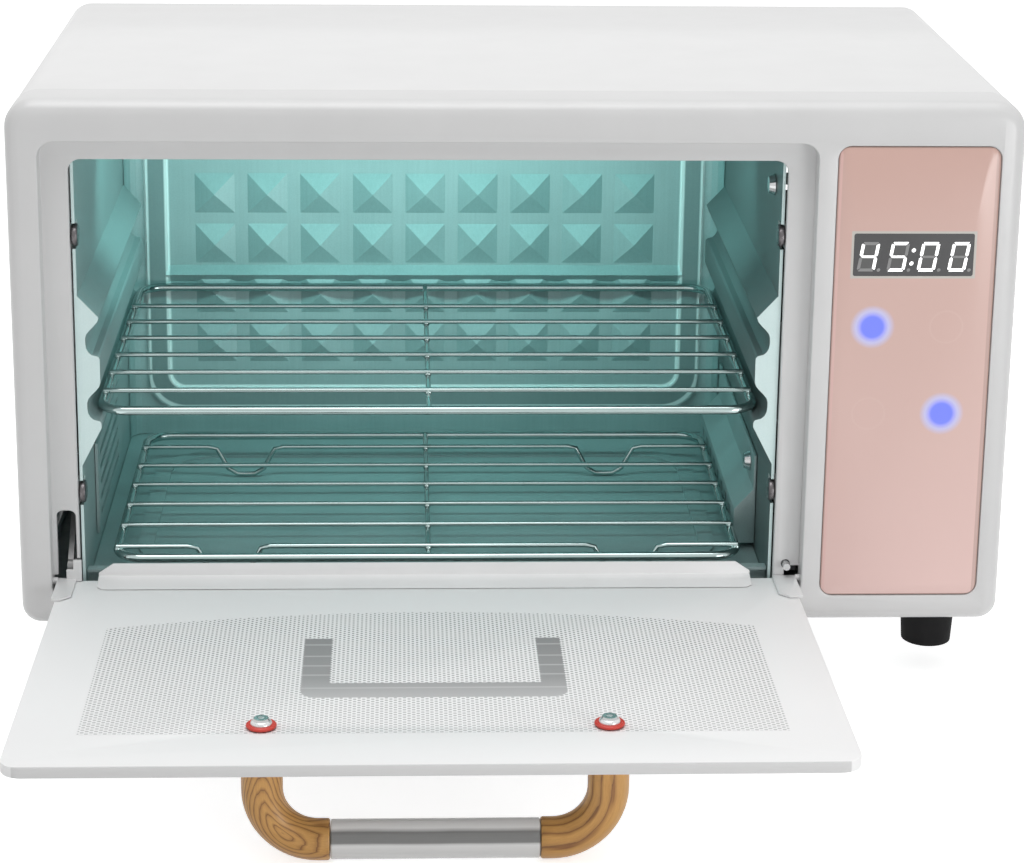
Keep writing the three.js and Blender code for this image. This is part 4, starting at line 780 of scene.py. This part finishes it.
def turned_piece(bm, centre, axis, profile, sides):
    """A piece turned about an axis: profile holds (distance along the axis, radius) in millimetres."""
    axis = axis.normalized()
    u = square_to(axis)
    v = axis.cross(u)
    rings = []
    for d, r in profile:
        base = centre + axis * d * MM
        if r <= 0:
            rings.append([bm.verts.new(base)])
        else:
            rings.append([bm.verts.new(base + (u * c + v * s) * r * MM) for c, s in circle(sides)])
    for a, b in zip(rings, rings[1:]):
        bridge(bm, a, b)
    bmesh.ops.recalc_face_normals(bm, faces=bm.faces)


def arc_points(centre, start, end, steps):
    """Points of a quarter turn: centre plus start turning to end, all in millimetres."""
    found = []
    for i in range(steps + 1):
        a = math.pi / 2 * i / steps
        found.append([c + s * math.cos(a) + e * math.sin(a) for c, s, e in zip(centre, start, end)])
    return found


# Racks
rack_wire = 1.9
cross_wire = 1.1
rack_corner = 11
corner_steps = 10
rack_rows = 6
rack_pitch = 24.6
rack_sides = 20
cross_sides = 12
spine_shift = 0.6
cross_overhang = 0.4
floor_top = 12
leg_reach = 82
leg_top = ((17, 0), (13.2, -0.8))
leg_foot = ((8, 2.6), (4, 0.2))
weld_profile = ((0, 0), (0.5, 1.1), (1.6, 1.5), (2.7, 1.1), (3.2, 0))
weld_sides = 10


def leg_points(y, high):
    """A cross wire's two bends down to the chamber's floor."""
    low = floor_top + seat_gap + cross_wire
    down = [(-d, high + rise) for d, rise in leg_top] + [(-d, low + rise) for d, rise in leg_foot]
    up = [(-d, height) for d, height in reversed(down)]
    found = []
    for side in (-1, 1):
        centre = middle_x + side * leg_reach
        found += [(centre + d, y, height) for d, height in down + [(0, low)] + up]
    return found


def rack(node, half, front, back, z, first, legs):
    """A wire rack: a round-cornered rim, a spine and cross wires with a weld at each crossing."""
    bm = bmesh.new()
    r = rack_corner
    x0, x1 = middle_x - half, middle_x + half
    corners = (((x1 - r, front + r, z), (0, -r, 0), (r, 0, 0)),
               ((x1 - r, back - r, z), (r, 0, 0), (0, r, 0)),
               ((x0 + r, back - r, z), (0, r, 0), (-r, 0, 0)),
               ((x0 + r, front + r, z), (-r, 0, 0), (0, -r, 0)))
    rim = [p for corner in corners for p in arc_points(*corner, corner_steps)]
    sweep(bm, [at(*p) for p in rim], rack_wire, rack_sides, closed=True)
    high = z + (rack_wire + cross_wire) * 0.8
    spine_z = z + spine_shift
    spine = [(middle_x, front - spine_shift, spine_z), (middle_x, back + spine_shift, spine_z)]
    sweep(bm, [at(*p) for p in spine], cross_wire, cross_sides)
    for i in range(rack_rows):
        y = first + i * rack_pitch
        points = [(x0 - cross_overhang, y, high)]
        if legs and i in (0, rack_rows - 1):
            points += leg_points(y, high)
        points.append((x1 + cross_overhang, y, high))
        sweep(bm, [at(*p) for p in points], cross_wire, cross_sides)
        for x in (x0, middle_x, x1):
            start = at(x, y, z + rack_wire * 0.75) - across * (weld_profile[-1][0] / 2 * MM)
            turned_piece(bm, start, across, weld_profile, weld_sides)
    obj = from_bmesh(bm, node + "_wires", rack_teal_reflection_chrome, 60)
    link_object(obj, node_body[node], (node,))


rack("upper_rack", 133, 17, 198.5, 86.4, 36, False)
rack("lower_rack", 128, 13.5, 166, 24, 20.3, True)


# Handle
def elbow(node, x, side, material):
    """A bent wooden rod from the glass's underside round to the tube."""
    bend = elbow_bend
    end = x - side * elbow_length
    top = glass_top - glass_thick - seat_gap
    points = [(x, handle_reach, top), (x, handle_reach, (top + handle_z + bend) / 2)]
    for i in range(elbow_steps + 1):
        a = math.pi / 2 * i / elbow_steps
        place_x = x - side * bend + side * bend * math.cos(a)
        points.append((place_x, handle_reach, handle_z + bend - bend * math.sin(a)))
    end_length, end_drop = elbow_end_soft
    points.append((end + side * end_length, handle_reach, handle_z))
    points.append((end, handle_reach, handle_z))
    radii = [elbow_radius] * (len(points) - 1) + [elbow_radius - end_drop]
    bm = bmesh.new()
    sweep(bm, [on_door(*p) for p in points], radii, 40)
    obj = from_bmesh(bm, node + "_turned", material, 50)
    link_object(obj, "door", (node,))


elbow("handle_elbow_left", handle_xs[0], -1, materials["handle_wood"])
elbow("handle_elbow_right", handle_xs[1], 1, wood_right)


def handle_bar():
    bm = bmesh.new()
    half = (handle_xs[1] - handle_xs[0]) / 2 - elbow_length - seat_gap
    r, soft = bar_radius, bar_end_soft
    profile = [(0, 0), (0, r - soft), (soft, r), (2 * half - soft, r), (2 * half, r - soft), (2 * half, 0)]
    turned_piece(bm, on_door(handle_x - half, handle_reach, handle_z), across, profile, 64)
    obj = from_bmesh(bm, "handle_bar_tube", tube_painted_reflection_chrome, 40)
    link_object(obj, "door", ("handle_bar",))


handle_bar()

# Screws and washers on the glass
head_radius = 3.9
head_height = 2.2
head_seat = 0.9
head_steps = 8
washer_ring = 4.9
washer_wire = 0.62
washer_sides = 40
washer_profile = ((0, 0), (0, 5.1), (1.05, 5.0), (1.15, 4.6), (1.15, 0))


def pan_screw(node, centre):
    """A smooth domed head on the node's own place."""
    bm = bmesh.new()
    profile = [(-seat_gap, 0), (-seat_gap, head_radius * 0.98), (0, head_radius)]
    for i in range(1, head_steps):
        a = math.pi / 2 * i / head_steps
        profile.append((head_height * math.sin(a), head_radius * math.cos(a)))
    profile.append((head_height, 0))
    turned_piece(bm, centre, door_up, profile, 36)
    obj = from_bmesh(bm, node + "_head", screw_chrome, 60)
    link_object(obj, node_body[node])


def washer(node, x):
    """A soft round-edged ring under the screw head."""
    bm = bmesh.new()
    ring = [(x + washer_ring * c, handle_reach + washer_ring * s, 0.25) for c, s in circle(washer_sides)]
    sweep(bm, [on_door(*p) for p in ring], washer_wire, 12, closed=True)
    turned_piece(bm, on_door(x, handle_reach, -0.4), door_up, washer_profile, washer_sides)
    obj = from_bmesh(bm, node + "_ring", materials["washer_red"], 50)
    link_object(obj, "door", (node,))


for side_name, screw_x in zip(("left", "right"), handle_xs):
    pan_screw("handle_screw_" + side_name, on_door(screw_x, handle_reach, head_seat))
    washer("handle_washer_" + side_name, screw_x)


# Display digits: lit and unlit segments on a slightly paler ground
digit_wide = 7.2
digit_tall = 12.1
digit_thick = 1.25
digit_slant = 0.16
digit_gap = 0.16
digit_places = (1.4, 13.3, 25.4, 37.6)
digit_base = 1.9
ground_inset = 0.4
point_places = (10.2, 22.2, 34.3, 46.4)
point_rise = 2.5
point_radius = 0.72
colon_places = ((23.95, 10.6), (23.25, 5.2))
colon_radius = 0.8
disc_sides = 20
segment_depth = 0.10
ground_depth = 0.13
patterns = {"0": "abcdef", "4": "bcfg", "5": "acdfg"}


def segment_points(which):
    """Outline of one segment of a digit, in millimetres from the digit's low left corner."""
    g = digit_gap
    w, h, t = digit_wide, digit_tall, digit_thick
    nib = t * 0.45
    if which == "g":
        mid = h / 2
        return [(g + nib, mid), (t, mid + t / 2 - g), (w - t, mid + t / 2 - g), (w - g - nib, mid),
                (w - t, mid - t / 2 + g), (t, mid - t / 2 + g)]
    if which == "a":
        return [(nib, h - nib * 0.35), (nib * 1.4, h), (w - nib * 1.4, h), (w - nib, h - nib * 0.35),
                (w - t - g, h - t), (t + g, h - t)]
    if which == "d":
        return [(nib, nib * 0.35), (t + g, t), (w - t - g, t), (w - nib, nib * 0.35),
                (w - nib * 1.4, 0), (nib * 1.4, 0)]
    low, high = (h / 2 + g, h - g - nib) if which in "bf" else (g + nib, h / 2 - g)
    if which in "ce":
        ends = [(0, low + nib * 0.5), (0, high - nib), (nib, high), (t, high - nib), (t, low + nib),
                (nib * 0.5, low)]
    else:
        ends = [(0, low + nib), (0, high - nib * 0.5), (nib * 0.5, high), (t, high - nib), (t, low + nib),
                (nib, low)]
    if which in "bc":
        ends = [(w - px, pz) for px, pz in ends]
    return ends


def flat_piece(bm, x, z, points, y):
    face = bm.faces.new([bm.verts.new(at(x + px + digit_slant * pz, y, z + pz)) for px, pz in points])
    face.normal_update()
    if face.normal.y > 0:
        face.normal_flip()


def disc(radius):
    return [(radius * c, radius * s) for c, s in circle(disc_sides)]


def digits():
    lit, ghost, shade = bmesh.new(), bmesh.new(), bmesh.new()
    x0, z0 = display[0], display[2]
    low, wide, tall = ground_inset, digit_wide - ground_inset, digit_tall - ground_inset
    for place, number in zip(digit_places, "4500"):
        x, z = x0 + place, z0 + digit_base
        for which in "abcdefg":
            bm = lit if which in patterns[number] else ghost
            flat_piece(bm, x, z, segment_points(which), segment_depth)
        flat_piece(shade, x, z, [(low, low), (wide, low), (wide, tall), (low, tall)], ground_depth)
    for place in point_places:
        flat_piece(ghost, x0 + place, z0 + point_rise, disc(point_radius), segment_depth)
    for place, rise in colon_places:
        flat_piece(lit, x0 + place, z0 + rise, disc(colon_radius), segment_depth)
    for bm, name, mat in ((lit, "display_digits", digit_light), (ghost, "display_unlit", digit_ghost),
                          (shade, "display_ground", digit_shade)):
        link_object(from_bmesh(bm, name, mat), "cabinet")


digits()


# Control panel: one unbroken front over the touch keys
def rounded(x0, x1, z0, z1, r, steps=8):
    """Outline of a rectangle with round corners."""
    corners = ((x1 - r, z0 + r, -90), (x1 - r, z1 - r, 0), (x0 + r, z1 - r, 90), (x0 + r, z0 + r, 180))
    found = []
    for cx, cz, a0 in corners:
        for i in range(steps + 1):
            a = math.radians(a0 + 90 * i / steps)
            found.append((cx + r * math.cos(a), cz + r * math.sin(a)))
    return found


def ring_of_verts(bm, outline, y):
    return [bm.verts.new(at(x, y, z)) for x, z in outline]


def panel_front():
    bm = bmesh.new()
    soft = panel_soft
    outer = rounded(*panel, panel_corner)
    inner = rounded(panel[0] + soft, panel[1] - soft, panel[2] + soft, panel[3] - soft, panel_corner - soft)
    window = rounded(*display, display_corner, 4)
    loops = [ring_of_verts(bm, outline, y) for outline, y in zip((outer, outer, inner), panel_rise)]
    for a, b in zip(loops, loops[1:]):
        bridge(bm, a, b)
    hole = ring_of_verts(bm, window, panel_rise[2])
    front = loops[2]
    rim = [bm.edges.get((front[k], front[(k + 1) % len(front)])) for k in range(len(front))]
    hole_edges = [bm.edges.new((hole[k], hole[(k + 1) % len(hole)])) for k in range(len(hole))]
    bmesh.ops.triangle_fill(bm, use_beauty=True, edges=rim + hole_edges)
    bridge(bm, hole, ring_of_verts(bm, window, panel_rise[1]))
    bmesh.ops.recalc_face_normals(bm, faces=bm.faces)
    if max(bm.faces, key=lambda f: f.calc_area()).normal.y > 0:
        bmesh.ops.reverse_faces(bm, faces=bm.faces)
    obj = from_bmesh(bm, "panel_front", materials["panel_pink"], 40)
    link_object(obj, "cabinet", ("control_panel",))


panel_front()

# The other nodes keep their shape, with softened edges
soft_edges = {
    "outer_cover": 0.3,
    "door_glass": 0.7,
    "hinge_clip_right": 0.2,
    "duct_cover": 0.5,
    "lamp_socket_left": 0.6,
    "lamp_socket_right": 0.6,
    "power_inlet": 0.3,
    "rear_panel": 0.2,
}
depth_tolerance = 0.05
side_tolerance = 0.1
pocket_gap = 4


def at_depth(e, depth):
    """Whether both ends of an edge lie at a depth behind the front face."""
    return all(abs((v.co.y - bezel_low.y) / MM - depth) < depth_tolerance for v in e.verts)


def within_recess(e):
    left, right = recess_sides
    return all(left - side_tolerance < v.co.x / MM < right + side_tolerance for v in e.verts)


def recess_rim(e):
    """Edges where the door's recess meets the front face."""
    return at_depth(e, 0) and within_recess(e)


def opening_rim(e):
    """Edges where the chamber's opening meets the recess floor."""
    return at_depth(e, recess_depth) and within_recess(e)


def pocket_rim(e):
    """Edges of the shallow pocket round the panel."""
    return at_depth(e, 0) and all(v.co.x / MM > recess_sides[1] + pocket_gap for v in e.verts)


bezel_passes = ((2.4, 5, recess_rim), (1.1, 3, opening_rim), (0.35, 2, pocket_rim))
dress("front_bezel", materials["bezel_white"], bezel_passes, 30)
dress("chamber_back_wall", back_metal, (), 14, merge=False)
# The chamber walls' front ends take a painted highlight.
dress("chamber_left_wall", materials["chamber_steel"], (), 25, ends=painted_highlight_ends)
# The right wall's darker steel is painted shade.
dress("chamber_right_wall", shaded_metal, (), 25, ends=painted_highlight_ends)
dress("closing_link", link_grey)
dress("door_rail", rail_white, ((0.25, 2, None),))
for node in nodes:
    if node.startswith("opening_screw"):
        dress(node, screw_dark, ((0.9, 4, None),), 50)
for node in sorted(nodes):
    if node not in made:
        passes = ((soft_edges[node], 2, None),) if node in soft_edges else ()
        dress(node, materials[record_slots[node]], passes)

# Floor, lamps and background
floor_half = 4.0
floor_drop = 0.0002
floor_glow = 0.7
world_level = 0.44
glow_width = 0.24
glow_depth = 0.03
glow_spread = math.radians(150)


def light(name, place, look_at, size, power, colour=(1, 1, 1), size_y=None):
    data = bpy.data.lights.new(name, "AREA")
    data.energy = power
    data.color = colour
    data.size = size
    if size_y:
        data.shape = "RECTANGLE"
        data.size_y = size_y
    lamp = bpy.data.objects.new(name, data)
    bpy.context.scene.collection.objects.link(lamp)
    lamp.location = place
    lamp.rotation_euler = (Vector(look_at) - Vector(place)).to_track_quat("-Z", "Y").to_euler()
    return lamp


def floor_material():
    m, nt, bsdf = new_material("floor_white")
    tone = ramp(nt, noise(nt, coords(nt), 3), [(0.3, grey(0.89)), (0.7, grey(0.91))])
    nt.links.new(tone, bsdf.inputs["Base Color"])
    set_values(bsdf, Roughness=0.9, Specular_IOR_Level=0.1, Emission_Color=(1, 1, 1, 1))
    strength = math_node(nt, "MULTIPLY", seen_past_light(nt), floor_glow)
    nt.links.new(strength, bsdf.inputs["Emission Strength"])
    return m


def make_floor():
    bm = bmesh.new()
    signs = ((-1, -1), (1, -1), (1, 1), (-1, 1))
    bm.faces.new([bm.verts.new((x * floor_half, y * floor_half, -floor_drop)) for x, y in signs])
    obj = from_bmesh(bm, "floor", floor_material())
    bpy.context.scene.collection.objects.link(obj)


def make_world():
    world = bpy.data.worlds.new("studio")
    bpy.context.scene.world = world
    world.use_nodes = True
    nt = world.node_tree
    nt.nodes.clear()
    out = nt.nodes.new("ShaderNodeOutputWorld")
    back = nt.nodes.new("ShaderNodeBackground")
    nt.links.new(back.outputs[0], out.inputs[0])
    back.inputs["Color"].default_value = (1, 1, 1, 1)
    strength = math_node(nt, "MULTIPLY_ADD", seen_past_light(nt), 1 - world_level, world_level)
    nt.links.new(strength, back.inputs["Strength"])


make_floor()
make_world()
light("key", (-0.2, -0.45, 1.7), (-0.03, -0.1, 0), 1.0, 8.6)
light("fill", (0.6, -0.75, 0.1), (0.12, 0, 0.03), 0.36, 2.1)
light("top", (0.0, 0.1, 1.6), (0, 0, 0.1), 1.4, 7.2)
glow_place, glow_target = at(middle_x, 88, 190), at(middle_x, 170, 110)
uv_glow = light("chamber_glow", glow_place, glow_target, glow_width, 0.22, (0.48, 1.0, 0.96), glow_depth)
uv_glow.data.spread = glow_spread
uv_glow.visible_glossy = False
bpy.context.scene.view_settings.view_transform = "Standard"
